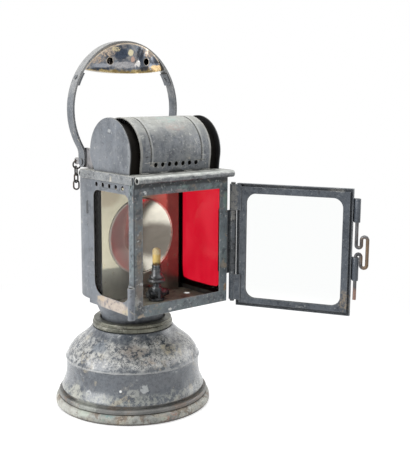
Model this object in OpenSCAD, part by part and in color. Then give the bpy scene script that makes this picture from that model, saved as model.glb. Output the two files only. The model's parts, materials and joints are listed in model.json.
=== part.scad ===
// Carbide railway hand lantern. Millimetres, +Z up, the origin under the middle of the foot.
// The doorway faces -Y. The door is drawn open, as it stands in use when the burner is lit.

/* [Sheet] */
// Wall thickness of the head, roof and cowl
sheet = 1; // [0.6:0.1:1.4]
// Thickness of the door's and the front frame's sheet
thin_sheet = 0.8; // [0.6:0.1:1]
// Running gap round a pin or a shaft, on the radius
run_gap = 0.06; // [0.03:0.01:0.1]
// Gap between parts that move past each other
free_gap = 0.4; // [0.3:0.1:0.6]

/* [Generator] */
// Radius of the foot
foot_r = 75; // [66:1:95]
// Height of the rolled foot
foot_h = 9.3; // [7:0.1:12]
// Radius of the bell at its straight wall
bell_r = 63.8; // [60:0.1:66]
// Height of the crease round the bell
crease_z = 44.6; // [42:0.1:50]
// Thickness of the bell
bell_wall = 1.2; // [0.8:0.1:2]
// Radius of the bottom pan's upright wall
pan_r = 66.4; // [64:0.1:68]
// Height of the pan's upright wall
pan_h = 16.3; // [15:0.1:18]
// Height of the bell's top edge
bell_top = 75.2; // [74:0.1:82]
// Radius of the carbide canister
canister_r = 38; // [30:1:45]
// Height of the carbide canister
canister_h = 47; // [35:1:48]

/* [Neck] */
// Outer radius of the neck ring
ring_r = 38.3; // [37:0.1:41]
// Height of the neck ring
ring_h = 7.7; // [7:0.1:9]
// Outer radius of the thread on the neck socket
thread_r = 35; // [33:0.1:36]
// Radius of the collar where it leaves the ring
collar_r = 29.3; // [26:0.1:31]
// Radius that the collar flares to under the head
flare_r = 38; // [34:0.1:42]

/* [Head] */
// Width of the head over the front frame
head_w = 104.4; // [87:0.1:126]
// Distance from the foot's axis forward to the front face
front_y = 77.7; // [66:0.1:92]
// Distance from the foot's axis back to the rear face
rear_y = 37; // [34:0.5:46]
// Radius of the rear corners
rear_corner = 40; // [20:1:42]
// Distance from the foot's axis forward to the seam before the rear housing
seam_y = 5; // [3:0.5:10]
// Height of the head's underside above the ground
head_z = 105.3; // [104:0.1:112]
// Height of the head's walls
head_h = 121.5; // [102:0.5:146]
// How far the rear housing's floor lies above the head's underside
rear_step = 3.7; // [2:0.1:5]
// How far the rear housing's top lies below the roof plate
rear_drop = 6.8; // [6:0.1:8]
// Width of the front frame's stiles
stile_w = 9.1; // [7:0.1:12]
// Height of the doorway's bottom rail
sill_h = 10.1; // [8:0.1:14]
// Height of the doorway's top rail, up to the roof
lintel_h = 15.8; // [13:0.1:20]
// Depth of the front frame's side flanges
flange_d = 8; // [6:0.5:10]
// Diameter of the air holes in the floor
air_d = 7; // [5:0.5:9]

/* [Windows] */
// Distance from the front face back to a side window
window_front = 8.7; // [8:0.1:12]
// Distance from the seam forward to a side window
window_rear = 9; // [8:0.1:14]
// Height of a side window's lower edge above the head's underside
window_sill = 10.7; // [9:0.1:14]
// Distance from a side window's upper edge to the roof plate
window_drop = 15.8; // [15:0.1:20]
// Radius of a side window's lower corners
window_low_r = 13; // [4:0.5:14]
// Radius of a side window's upper corners
window_high_r = 7; // [4:0.5:12]
// Diameter of the vent holes
vent_d = 4; // [3:0.5:5]
// Spacing of the vent holes
vent_pitch = 10.1; // [8:0.1:12]
// Number of vent holes in a wall
vents = 5; // [3:1:6]
// Thickness of the side panes
pane_t = 2; // [1.5:0.1:3]

/* [Lamp] */
// Radius of the reflector at its rim
reflector_r = 36; // [30:0.5:38]
// Depth of the reflector's dish
dish_d = 22; // [14:0.5:24]
// Height of the reflector's centre above the head's underside
reflector_z = 58.2; // [54:0.1:64]
// Distance from the foot's axis forward to the reflector plate's front
reflector_y = 16; // [14:0.1:24]
// Width of the reflector plate
plate_w = 87; // [80:0.5:95]
// Distance from the reflector plate's top edge to the roof plate
plate_drop = 16.8; // [15:0.1:24]
// Distance from the foot's axis forward to the burner
burner_y = 39; // [37:0.5:50]
// Radius of the burner tip
tip_r = 3.7; // [3:0.1:5]
// Radius of the tap's plug
plug_r = 2; // [1.5:0.1:2.5]
// Radius of the gas pipe
pipe_r = 2.5; // [2:0.1:3]

/* [Roof] */
// How far the roof plate stands out past each side of the head
roof_over = 0.8; // [0.6:0.1:3]
// Radius of the front bead
bead_r = 3.1; // [2.5:0.1:4]
// Distance from the head's front face forward to the front bead's axis
bead_y = 5.6; // [5.3:0.1:8]
// Radius of the rear bead
rear_bead_r = 2.8; // [2.4:0.1:3]
// Depth of the roof plate's side lips
lip_h = 6.4; // [4:0.1:7]

/* [Cowl] */
// How far each end plate of the cowl stands in from the side of the head
cowl_inset = 2.2; // [1.5:0.1:8]
// Radius of the cowl
cowl_r = 31; // [28:0.5:33]
// Height of the cowl's centre above the roof
cowl_z = 16.4; // [14:0.1:24]
// Distance from the foot's axis forward to the cowl's middle
cowl_y = 38.7; // [37:0.1:44]
// Half width of the cowl where it meets the roof
cowl_foot = 29; // [26:0.1:31]
// Gap at each end between the shell and the end plate
outlet_gap = 9.6; // [6:0.1:12]
// Outer radius of the inner flue
flue_r = 25.5; // [22:0.5:27]
// Diameter of the holes along the shell
cowl_hole_d = 4; // [3:0.1:5]
// Spacing of the holes along the shell
cowl_hole_pitch = 7.4; // [6:0.1:9]

/* [Door] */
// How far the hinge axis stands out from the side of the head
hinge_out = 4.6; // [4:0.1:7]
// How far the hinge axis stands before the head's front face
hinge_fore = 2.5; // [2.3:0.1:4]
// Radius of the hinge knuckles
knuckle_r = 3.2; // [2.6:0.1:3.6]
// Radius of the hinge pin
pin_r = 1.3; // [1:0.1:1.6]
// Angle that the door stands open
door_angle = 119.8; // [0:0.1:165]
// How far the door hangs below the head's underside
door_drop = 3.7; // [2:0.1:5]
// Distance from the door's top edge to the roof plate
door_head = 11.2; // [8:0.1:14]
// Width of the door's rails and stiles
door_rail = 9; // [7:0.1:12]
// Radius of the corners of the door's opening
door_corner = 9; // [4:0.5:12]

/* [Latch] */
// Radius of the latch's wire
wire_r = 1.55; // [1:0.05:1.6]
// How far the latch rod stands out past the left side of the head when shut
keeper_out = 5.1; // [5:0.1:7]
// Outer radius of the keeper tube
keeper_r = 3.1; // [2.9:0.1:3.3]
// Outer radius of the guide tubes
guide_r = 2.75; // [2.5:0.05:3]
// How far the latch lifts
latch_lift = 20; // [16:0.5:20]
// Height of the latch's middle above the head's underside
latch_z = 54.5; // [50:0.5:60]
// How far the grip loop reaches out from the rod
loop_out = 9.8; // [8:0.1:12]

/* [Bail] */
// Thickness of the bail's strap
strap_t = 2; // [1.5:0.1:2.5]
// Width of the bail's strap
strap_w = 10; // [8:0.5:12]
// Height of the bail's top above the roof plate
bail_h = 114.4; // [108:0.1:130]
// Length of the bail's straight feet above the pivot
bail_leg = 6.2; // [4:0.1:16]
// How far the bail bows out past each side of the head
bail_bow = 6.5; // [5:0.1:9]
// How far each foot of the bail stands in from the side of the head
foot_inset = 4.6; // [4:0.1:6]
// Distance from the foot's axis back to the bail's pivot
pivot_y = 11; // [10:0.1:14]
// Height of the bail's pivot above the roof plate
pivot_z = 5.6; // [5.4:0.1:8]
// Height of the grip at its middle
grip_h = 27.5; // [22:0.5:29]
// Depth of the grip from front to back
grip_d = 18.5; // [16:0.5:22]

/* [Chain] */
// Radius of the chain's wire
link_r = 0.75; // [0.5:0.05:0.8]
// Length of a link over its wire
link_l = 9.8; // [8:0.1:10]
// Width of a link over its wire
link_w = 6.4; // [5.2:0.1:6.8]
// Number of links below the ring
links = 3; // [2:1:4]

/* [Hidden] */
$fn = 96;

// Heights that several parts share
pan_t = 1.2;
bead_z = foot_h + 0.1;
ring_z = bell_top + 0.3;
gasket_z = bell_top + 3.8;
gasket_t = 1.2;
collar_z = gasket_z + gasket_t;
collar_flange = 1.1;
floor_top = head_z + sheet;
wall_top = head_z + head_h;
roof_top = wall_top + sheet;
rear_z = head_z + rear_step;
rear_top = wall_top - rear_drop;

// Faces of the head
half_w = head_w / 2;
wall_out = half_w - thin_sheet;
wall_in = wall_out - sheet;
wall_front = -front_y + thin_sheet;
door_half = half_w - stile_w;

// The cowl
cowl_end = half_w - cowl_inset;
plate_lip = 0.7;
shell_half = cowl_end - sheet - plate_lip - outlet_gap;
cowl_mid = [-cowl_y, roof_top + cowl_z];
tab_w = 8;
tab_d = 2.6;
tab_x = [13.8, 34.3] * shell_half / 38.7;

// The door, measured from its hinge axis
hinge_x = half_w + hinge_out;
hinge_y = -front_y - hinge_fore;
rod_s = hinge_x + half_w + keeper_out;
door_from = knuckle_r + 0.8;
door_to = rod_s - keeper_r - free_gap;
door_low = head_z - door_drop;
door_high = wall_top - door_head;
door_in = hinge_fore - 1;
door_out = -1.7;
leaf_t = 0.7;
knuckle_low = door_low + 29.7;
knuckle_high = door_high - 25.2;

// The latch
latch_mid = head_z + latch_z;
guide_bore = wire_r + run_gap;
guide_h = 20.9;
low_guide_top = latch_mid - 4.7;
high_guide = latch_mid + 26.4;
bend_r = (guide_r + wire_r + free_gap / 2) / 2;
loop_r = (loop_out - 2 * bend_r) / 2;
rod_end = latch_mid - 42.9;
keeper_low = head_z + 0.8;
keeper_high = low_guide_top - guide_h - free_gap;

// The bail
foot_x = half_w - foot_inset;
bow_x = half_w + bail_bow;
heel_r = 14;
pivot_at = roof_top + pivot_z;
bail_top = roof_top + bail_h;

// Crown, sides and heels meet in tangents at any height and width of the bail
bow_part = 0.287;
side_part = 1 - bow_part;
bow_in = bow_x - foot_x;
bail_rise = bail_top - pivot_at - bail_leg - bow_part * bow_x;
side_sum = bail_rise * side_part + bow_in;
side_left = bail_rise * bail_rise - 2 * heel_r * bow_in + bow_in * bow_in;
side_r = (side_sum - sqrt(side_sum * side_sum - side_part * side_part * side_left)) / pow(side_part, 2);
side_x = bow_x - side_r;
side_z = bail_top - side_part * side_r - bow_part * bow_x;
crown_over = bail_top - side_z;
crown_r = (side_r * side_r - crown_over * crown_over - side_x * side_x) / (2 * (side_r - crown_over));
crown_z = bail_top - crown_r;
join_way = sign(side_r - crown_r);
join_a = atan2(join_way * (crown_z - side_z), -join_way * side_x);
heel_a = acos((foot_x - side_x + heel_r) / (side_r + heel_r));
heel_x = side_x + (side_r + heel_r) * cos(heel_a);
heel_z = side_z - (side_r + heel_r) * sin(heel_a);
ear_t = 1.5;
ear_x = foot_x - strap_t - 0.3;
bail_pin_r = 1.6;
tang_t = 2.2;

// The chain: a ring through an eye behind the left ear, and links below it
link_gap = 0.25;
eye = [-(ear_x - ear_t / 2), pivot_y + 13, roof_top + 5.2];
eye_r = 2;
ring_r_mid = 3.5;
ring_turn = 50;
ring_at = eye - [0, 0, ring_r_mid];
hook_a = 30;
hook_r = ring_r_mid - 2 * link_r - link_gap;
link_top = ring_at + hook_r * [-sin(hook_a) * sin(ring_turn), sin(hook_a) * cos(ring_turn), -cos(hook_a)];
link_twist = 60;

// Box between two opposite corners
module block(low, high) {
  translate(low) cube(high - low);
}

// Outline drawn in (y, z), made solid along x
module along_x(from, to) {
  translate([from, 0, 0]) rotate([90, 0, 90]) linear_extrude(to - from) children();
}

// Outline drawn in (x, z), made solid along y
module along_y(from, to) {
  translate([0, to, 0]) rotate([90, 0, 0]) linear_extrude(to - from) children();
}

// Outline drawn in (x, y), made solid along z
module along_z(from, to) {
  translate([0, 0, from]) linear_extrude(to - from) children();
}

module rod_x(from, to, r) {
  translate([from, 0, 0]) rotate([0, 90, 0]) cylinder(h = to - from, r = r);
}

module rod_y(from, to, r) {
  translate([0, from, 0]) rotate([-90, 0, 0]) cylinder(h = to - from, r = r);
}

module both_sides() {
  children();
  mirror([1, 0, 0]) children();
}

// Rectangle with its own radius on the lower and on the upper corners
module rounded(low, high, low_r, high_r) {
  translate([low[0] + low_r, low[1]]) square([high[0] - low[0] - 2 * low_r, low_r]);
  translate([low[0], low[1] + low_r]) square([high[0] - low[0], high[1] - low[1] - low_r - high_r]);
  translate([low[0] + high_r, high[1] - high_r]) square([high[0] - low[0] - 2 * high_r, high_r]);
  for (x = [low[0] + low_r, high[0] - low_r]) translate([x, low[1] + low_r]) circle(low_r);
  for (x = [low[0] + high_r, high[0] - high_r]) translate([x, high[1] - high_r]) circle(high_r);
}

// Part of a flat ring from angle a to angle b, less than half a turn
module sector(r_in, r_out, a, b) {
  far = 2 * r_out;
  mid = (a + b) / 2;
  intersection() {
    difference() {
      circle(r_out);
      circle(r_in);
    }
    polygon([[0, 0], far * [cos(a), sin(a)], far * [cos(mid), sin(mid)], far * [cos(b), sin(b)]]);
  }
}

// Points on an arc
function arc(mid, r, a, b, n) = [for (i = [0:n]) let (turn = a + (b - a) * i / n)
  mid + r * [cos(turn), sin(turn)]];

// Smooth line through points, n steps to each span
function spline(p, n) = concat([for (i = [0:len(p) - 2]) for (k = [0:n - 1])
  let (t = k / n, a = p[max(i - 1, 0)], b = p[i], c = p[i + 1], d = p[min(i + 2, len(p) - 1)])
  0.5 * (2 * b + (c - a) * t + (2 * a - 5 * b + 4 * c - d) * t * t + (3 * b - a - 3 * c + d) * t * t * t)],
  [p[len(p) - 1]]);

// Line moved square to itself, to its left, by t
function beside(p, t) = [for (i = [0:len(p) - 1])
  let (run = p[min(i + 1, len(p) - 1)] - p[max(i - 1, 0)])
  p[i] + t * [-run[1], run[0]] / norm(run)];

function reversed(p) = [for (i = [len(p) - 1:-1:0]) p[i]];

// Bell outline: the skirt below the crease and the dome above it, as (radius, height)
skirt = spline([[bell_r + 4.8, pan_h + 1.2], [bell_r + 3.1, pan_h + 5.1], [bell_r + 1.5, pan_h + 9],
  [bell_r + 0.5, pan_h + 14], [bell_r, (pan_h + crease_z) / 2 + 6], [bell_r - 0.1, crease_z - 0.4]], 4);
dome = spline([[bell_r - 0.5, crease_z + 2.8], [bell_r - 2, crease_z + 6.8],
  [bell_r - 4.5, crease_z + 10.8], [bell_r - 8.6, bell_top - 15.3], [bell_r - 13.2, bell_top - 11.8],
  [bell_r - 18, bell_top - 8], [bell_r - 22.2, bell_top - 4], [bell_r - 24.8, bell_top - 0.6]], 5);

module generator_shell() {
  crease = [[bell_r + 0.8, crease_z + 0.4], [bell_r + 0.7, crease_z + 1.7]];
  lip = thread_r + free_gap;
  color("slategray") rotate_extrude() polygon(concat(
    [[pan_r - pan_t, pan_h], [bell_r + 4.7, pan_h]], skirt, crease, dome,
    [[bell_r - 25.2, bell_top], [lip, bell_top], [lip, bell_top - bell_wall],
    [thread_r + 2.2, bell_top - bell_wall]],
    reversed(beside(concat(skirt, dome), bell_wall)), [[pan_r - pan_t, pan_h + bell_wall]]));
}

module foot_ring() {
  color("dimgray") rotate_extrude() polygon(concat([[pan_r + 0.1, 0]],
    arc([foot_r - 3, 3], 3, -90, 0, 6), arc([foot_r - 5, foot_h - 5], 5, 0, 75, 8),
    [[pan_r + 0.1, foot_h]]));
}

module bottom_pan() {
  bead_out = foot_r - 3.4;
  color("slategray") rotate_extrude() polygon([[0, 0], [pan_r, 0], [pan_r, bead_z],
    [bead_out - 0.6, bead_z], [bead_out, bead_z + 0.8], [bead_out, bead_z + 3],
    [bead_out - 0.8, bead_z + 3.9],
    [pan_r, bead_z + 3.9], [pan_r, pan_h], [pan_r - pan_t, pan_h], [pan_r - pan_t, pan_t], [0, pan_t]]);
}

module carbide_canister() {
  color("gray") difference() {
    translate([0, 0, pan_t]) cylinder(h = canister_h, r = canister_r);
    translate([0, 0, pan_t + sheet]) cylinder(h = canister_h, r = canister_r - sheet);
  }
}

// Where the gas pipe stands behind the burner
pipe_y = -burner_y + 16.5;
socket_top = gasket_z - 5;

module canister_lid() {
  low = pan_t + canister_h;
  color("darkgray") difference() {
    union() {
      translate([0, 0, low]) cylinder(h = pan_t, r = canister_r + 0.8);
      translate([0, pipe_y, low]) cylinder(h = socket_top - low, r = pipe_r + 1.6);
    }
    translate([0, pipe_y, low - 1]) cylinder(h = socket_top, r = pipe_r + run_gap);
  }
}

module neck_socket() {
  low = bell_top - bell_wall - pan_t;
  color("darkkhaki") rotate_extrude() polygon([[thread_r - 1.6, low], [thread_r + 1.8, low],
    [thread_r + 1.8, low + pan_t], [thread_r, low + pan_t], [thread_r, gasket_z],
    [thread_r - 1.6, gasket_z]]);
}

module neck_gasket() {
  color("black") rotate_extrude() translate([thread_r - 4.4, gasket_z]) square([3.8, gasket_t]);
}

module neck_ring() {
  top = ring_z + ring_h;
  lip = collar_z + collar_flange + 0.3;
  bore = thread_r + run_gap;
  color("darkkhaki") rotate_extrude() polygon([[bore, ring_z], [ring_r - 0.6, ring_z],
    [ring_r, ring_z + 0.6], [ring_r, ring_z + 3.8], [ring_r - 0.7, ring_z + 4.4],
    [ring_r - 1.3, ring_z + 4.8],
    [ring_r - 0.9, ring_z + 5.3], [ring_r - 0.9, top - 0.8], [ring_r - 1.7, top],
    [collar_r + 1.9, top], [collar_r + 1.9, lip], [bore, lip]]);
}

module collar() {
  line = spline([[collar_r, collar_z + collar_flange], [collar_r + 0.3, collar_z + 3.6],
    [collar_r + 1.6, collar_z + 7.6],
    [collar_r + 3.6, collar_z + 12.4], [flare_r - 2.2, head_z - 5], [flare_r, head_z],
    [flare_r + 1.2, rear_z]], 4);
  color("slategray") difference() {
    rotate_extrude() polygon(concat([[collar_r - sheet, collar_z], [thread_r - 0.6, collar_z],
      [thread_r - 0.6, collar_z + collar_flange]], line, reversed(beside(line, sheet))));
    block([-99, -99, head_z], [99, -seam_y, rear_z + 9]);
    block([-99, -99, rear_z], [99, 99, rear_z + 9]);
  }
}

module head_floor() {
  color("rosybrown") difference() {
    union() {
      block([-wall_in, wall_front, head_z], [wall_in, -seam_y, floor_top]);
      block([-wall_in, -seam_y - sheet, head_z], [wall_in, -seam_y, rear_z + sheet]);
    }
    for (x = [-1, 1]) translate([x * (wall_in - 10.4), -front_y + 43.7, head_z - 1])
      cylinder(h = 3, d = air_d);
    translate([0, pipe_y, head_z - 1]) cylinder(h = 3, r = pipe_r + run_gap);
  }
}

// Side wall outline in (y, z) with its window and its row of vent holes
window_low = [-front_y + window_front, head_z + window_sill];
window_high = [-seam_y - window_rear, wall_top - window_drop];

module side_wall() {
  vent_mid = (window_low[0] + window_high[0]) / 2 + 2;
  along_x(wall_in, wall_out) difference() {
    translate([wall_front, head_z]) square([-seam_y - wall_front, head_h]);
    rounded(window_low, window_high, window_low_r, window_high_r);
    for (i = [0:vents - 1]) translate([vent_mid + (i - (vents - 1) / 2) * vent_pitch, wall_top - 10.6])
      circle(d = vent_d);
  }
}

module left_wall() {
  color("slategray") mirror([1, 0, 0]) side_wall();
}

module right_wall() {
  color("slategray") side_wall();
}

module front_frame() {
  color("slategray") {
    along_y(-front_y, wall_front) difference() {
      translate([-half_w, head_z]) square([head_w, head_h]);
      translate([-door_half, head_z + sill_h]) square([2 * door_half, head_h - sill_h - lintel_h]);
    }
    both_sides() block([wall_out, wall_front, head_z], [half_w, -front_y + flange_d, wall_top]);
  }
}

rivet_y = -front_y + flange_d - 3;
rivet_z = [head_z + 4, latch_mid, wall_top - 13.8, wall_top - 7.8];

module frame_rivets() {
  color("gray") both_sides() for (z = rivet_z) translate([0, rivet_y, z]) rod_x(half_w, half_w + 0.7, 1.2);
}

// Plan of the rear housing, open at the seam and a step inside the walls
seam_step = 0.4;

module rear_plan(inset, front) {
  r = rear_corner - inset;
  mid = rear_y - rear_corner;
  wide = wall_out - seam_step - inset;
  translate([-wide, front]) square([2 * wide, mid - front]);
  translate([-wide + r, front]) square([2 * (wide - r), mid + r - front]);
  for (side = [-1, 1]) translate([side * (wide - r), mid]) circle(r);
}

module behind_seam() {
  intersection() {
    children();
    translate([-99, -seam_y]) square([198, 198]);
  }
}

module rear_housing() {
  color("slategray") difference() {
    union() {
      along_z(rear_z, rear_top) behind_seam() difference() {
        rear_plan(0, -seam_y);
        rear_plan(sheet, -seam_y - 9);
      }
      along_z(rear_z, rear_z + sheet) behind_seam() rear_plan(0, -seam_y);
    }
    both_sides() block([wall_out - 2 * sheet, -seam_y - 1, rear_top - 32],
      [half_w, -seam_y + 1.4, rear_top - 20]);
  }
}

module rear_crown() {
  color("slategray") along_z(rear_top, rear_top + sheet) behind_seam() rear_plan(0, -seam_y);
}

// Pane and channels of one side; the pane stands in two upright channels
pane_low = head_z + 6;
pane_front = wall_front + 3;
pane_rear = -seam_y - 5.5;

module side_pane() {
  block([wall_in - pane_t, pane_front, pane_low], [wall_in, pane_rear, window_high[1] + 2]);
}

module side_channels() {
  slot = 0.15;
  difference() {
    union() {
      block([wall_in - pane_t - 1.2, wall_front, floor_top], [wall_in, pane_front + 2, window_high[1] + 3]);
      block([wall_in - pane_t - 1.2, pane_rear - 2, floor_top],
        [wall_in, pane_rear + 2, window_high[1] + 3]);
    }
    block([wall_in - pane_t - slot, pane_front - slot, pane_low], [wall_in + 1, pane_rear + slot, wall_top]);
  }
}

module left_glass() {
  color([0.8, 0.9, 0.9, 0.3]) mirror([1, 0, 0]) side_pane();
}

module red_glass() {
  color([0.85, 0.02, 0.08, 0.8]) side_pane();
}

module left_channels() {
  color("dimgray") mirror([1, 0, 0]) side_channels();
}

module right_channels() {
  color("dimgray") side_channels();
}

// The dish bulges back through the plate; its sphere follows from the rim and the depth
plate_back = -reflector_y + thin_sheet;
dish_mid = head_z + reflector_z;
dish_sphere = (pow(reflector_r - 0.8, 2) + dish_d * dish_d) / (2 * dish_d);
rim_r = 0.55;
screw_spots = [[-40.5, -23.6], [-31.5, -31.8], [31.5, -31.8], [40.5, -23.6]];

module at_screws() {
  for (spot = screw_spots) translate([spot[0], 0, dish_mid + spot[1]]) children();
}

module reflector_plate() {
  color("wheat") difference() {
    block([-plate_w / 2, -reflector_y, floor_top], [plate_w / 2, plate_back, wall_top - plate_drop]);
    translate([0, 0, dish_mid]) rod_y(-reflector_y - 1, 0, reflector_r - 0.6);
    at_screws() rod_y(-reflector_y - 1, 0, 0.85);
  }
}

module reflector_dish() {
  color("wheat") translate([0, -reflector_y - rim_r, dish_mid]) {
    rotate([90, 0, 0]) rotate_extrude() translate([reflector_r - 0.35, 0]) circle(rim_r, $fn = 24);
    intersection() {
      translate([0, dish_d - dish_sphere, 0]) difference() {
        sphere(dish_sphere);
        sphere(dish_sphere - thin_sheet);
      }
      rod_y(0, dish_d + 1, reflector_r + 5);
    }
  }
}

module reflector_brackets() {
  color("dimgray") both_sides() difference() {
    union() {
      block([29, plate_back, floor_top], [34, plate_back + sheet, dish_mid - 29.3]);
      block([38, plate_back, floor_top], [plate_w / 2, plate_back + sheet, dish_mid - 20.8]);
      block([29, plate_back, floor_top], [plate_w / 2, -seam_y - 1.6, floor_top + sheet]);
    }
    at_screws() rod_y(plate_back - 1, 0, 0.85);
  }
}

module reflector_screws() {
  color("gray") at_screws() {
    rod_y(-reflector_y - 0.7, -reflector_y, 1.5);
    rod_y(-reflector_y - 0.1, plate_back + sheet + 0.6, 0.8);
  }
}

// The burner's heights, and half the length of the boss that its tap turns in
tap_z = floor_top + 6.2;
tap_half = 8.5;
body_top = floor_top + 17;

neck_h = 12;
cup_h = 4.2;

module at_burner(z) {
  translate([0, -burner_y, z]) children();
}

module burner_body() {
  color("dimgray") difference() {
    union() {
      at_burner(floor_top) cylinder(h = 2, r = 7.5);
      at_burner(floor_top) cylinder(h = 12.4, r = 5.4);
      at_burner(floor_top + 12.4) cylinder(h = body_top - floor_top - 12.4, r = 3.7);
      at_burner(tap_z) rod_x(-tap_half, tap_half, 4.05);
      at_burner(tap_z) rod_y(0, 9.5, 3.8);
      at_burner(tap_z) rod_y(0, 7, 4.6);
    }
    at_burner(tap_z) rod_x(-tap_half - 1, tap_half + 1, plug_r + run_gap);
    at_burner(tap_z) rod_y(6, 12, pipe_r + run_gap);
    at_burner(tap_z - 2.4) rotate([0, 0, -35]) rod_y(-8, -4, 1.4);
  }
}

module burner_nipple() {
  color("silver") at_burner(body_top) {
    cylinder(h = 0.6, r1 = 6.6, r2 = 7.75);
    translate([0, 0, 0.6]) cylinder(h = 2.3, r = 7.75);
    translate([0, 0, 2.9]) cylinder(h = 0.6, r1 = 7.75, r2 = 6.9);
    translate([0, 0, 3.5]) cylinder(h = 0.8, r = 5);
    translate([0, 0, 4.3]) cylinder(h = 2.1, r = 6.6);
    translate([0, 0, 6.4]) cylinder(h = 0.9, r = 5.4);
    translate([0, 0, 7.3]) cylinder(h = neck_h - 7.3, r = 4.6);
  }
}

module burner_sleeve() {
  color("gray") at_burner(body_top + neck_h) difference() {
    union() {
      cylinder(h = 1.2, r = tip_r + 0.9);
      translate([0, 0, 1.2]) cylinder(h = cup_h - 2, r = tip_r + 0.5);
      translate([0, 0, cup_h - 0.8]) cylinder(h = 0.8, r1 = tip_r + 0.9, r2 = tip_r + 0.6);
    }
    translate([0, 0, 1]) cylinder(h = cup_h, r = tip_r - 0.8);
  }
}

module burner_tip() {
  stem = cup_h - 1;
  top = stem + 16.2;
  color("burlywood") at_burner(body_top + neck_h + 1) difference() {
    rotate_extrude() polygon(concat([[0, 0], [tip_r - 0.85, 0], [tip_r - 0.85, stem], [tip_r, stem]],
      [[tip_r, top - tip_r]], arc([tip_r - 3, top - 3], 3, 10, 90, 5), [[0, top]]));
    translate([0, 0, top - 2.6]) rod_x(-9, 9, 0.45, $fn = 24);
  }
}

module tap_key() {
  color("darkgray") at_burner(tap_z) {
    rod_x(-tap_half - 2.6, tap_half + 0.5, plug_r);
    rod_x(-tap_half - 2, -tap_half - 0.3, plug_r + 1);
    rod_x(tap_half + 0.3, tap_half + 3.8, 3.3);
    rod_x(tap_half + 3.7, tap_half + 4.6, 2.2);
  }
}

module gas_pipe() {
  back = pipe_y + burner_y;
  elbow_r = pipe_r + 1.9;
  color("peru") at_burner(0) {
    translate([0, back, socket_top - 8]) cylinder(h = floor_top - socket_top + 8, r = pipe_r);
    translate([0, back, floor_top]) cylinder(h = 1.6, r = elbow_r + 1.6);
    translate([0, back, floor_top + 1.6]) cylinder(h = tap_z - floor_top + 2.2, r = elbow_r);
    translate([0, back, tap_z + 3.8]) cylinder(h = 1.2, r1 = elbow_r, r2 = elbow_r - 1.3);
    translate([0, 0, tap_z]) rod_y(6.2, back, pipe_r);
    translate([0, 0, tap_z]) rod_y(9.8, back - elbow_r + 1.5, pipe_r + 1.2);
  }
}

// Roof outline in (y, z): a plate between a front and a rear bead, rolled hollow
roof_half = half_w + roof_over;
front_bead = [-front_y - bead_y, roof_top - bead_r];
rear_bead = [5, rear_top + sheet + rear_bead_r + 0.1];

module tab_places() {
  for (side = [-1, 1]) for (x = tab_x) for (end = [-1, 1])
    translate([side * x, -cowl_y + end * (cowl_foot + tab_d / 2 - 0.1)]) children();
}

module roof_plate() {
  color("lightslategray") difference() {
    union() {
      along_x(-roof_half, roof_half) difference() {
        union() {
          translate([front_bead[0], roof_top - sheet]) square([rear_bead[0] - front_bead[0], sheet]);
          translate(front_bead) circle(bead_r);
          translate(rear_bead) circle(rear_bead_r);
        }
        translate(front_bead) circle(bead_r - sheet);
        translate(rear_bead) circle(rear_bead_r - sheet);
      }
      both_sides() block([roof_half - 0.7, wall_front + 1, roof_top - sheet - lip_h],
        [roof_half, rear_bead[0], roof_top - sheet / 2]);
    }
    block([-shell_half, -cowl_y - flue_r + 3, wall_top - 1],
      [shell_half, -cowl_y + flue_r - 3, roof_top + 1]);
  }
}

// Cowl outline in (y, z): an arch with sides that draw in a little to the roof
module cowl_plan(inset) {
  r = cowl_r - inset;
  foot = cowl_foot - inset;
  translate(cowl_mid) circle(r);
  polygon([[-cowl_y - r, cowl_mid[1]], [-cowl_y + r, cowl_mid[1]], [-cowl_y + foot, roof_top],
    [-cowl_y - foot, roof_top]]);
}

module above_roof() {
  intersection() {
    children();
    translate([-cowl_y - 60, roof_top]) square([120, 120]);
  }
}

module cowl_shell() {
  groove_x = shell_half * 0.72;
  color("lightslategray") difference() {
    union() {
      along_x(-shell_half, shell_half) above_roof() difference() {
        cowl_plan(0);
        cowl_plan(sheet);
        translate([-cowl_y - cowl_foot + sheet, roof_top - 1]) square([2 * (cowl_foot - sheet), 3]);
      }
      along_z(roof_top, roof_top + 0.8) tab_places() square([tab_w, tab_d], center = true);
    }
    for (x = [-groove_x, groove_x]) along_x(x - 0.6, x + 0.6) difference() {
      translate([-cowl_y - 40, roof_top + 14]) square([80, 80]);
      cowl_plan(0.45);
    }
    for (i = [-3:3], y = [-cowl_y - 35, -cowl_y + 27]) translate([i * cowl_hole_pitch, 0, roof_top + 7.4])
      rod_y(y, y + 8, cowl_hole_d / 2);
  }
}

module cowl_flue() {
  long = cowl_end - sheet;
  color([0.08, 0.08, 0.08]) difference() {
    along_x(-long, long) above_roof() difference() {
      union() {
        translate(cowl_mid) circle(flue_r);
        translate([-cowl_y - flue_r, roof_top]) square([2 * flue_r, cowl_z]);
      }
      translate(cowl_mid) circle(flue_r - sheet);
      translate([-cowl_y - flue_r + sheet, roof_top - 1]) square([2 * (flue_r - sheet), cowl_z + 1]);
    }
    for (x = [-24, -8, 8, 24]) translate([x, -cowl_y, cowl_mid[1]]) cylinder(h = cowl_r, r = 5);
  }
}

module cowl_end_plate() {
  along_x(cowl_end - sheet, cowl_end) above_roof() cowl_plan(0);
  along_x(cowl_end - sheet - plate_lip, cowl_end - sheet) above_roof() difference() {
    cowl_plan(0);
    cowl_plan(sheet);
    translate([-cowl_y - cowl_foot + sheet, roof_top - 1]) square([2 * (cowl_foot - sheet), 3]);
  }
}

module cowl_end_left() {
  color("slategray") mirror([1, 0, 0]) cowl_end_plate();
}

module cowl_end_right() {
  color("slategray") cowl_end_plate();
}

// Ear in (y, z): an upright lug with a foot on the roof; the left one has the chain's eye
ear_front = -4;
ear_top = pivot_at + 13;

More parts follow.
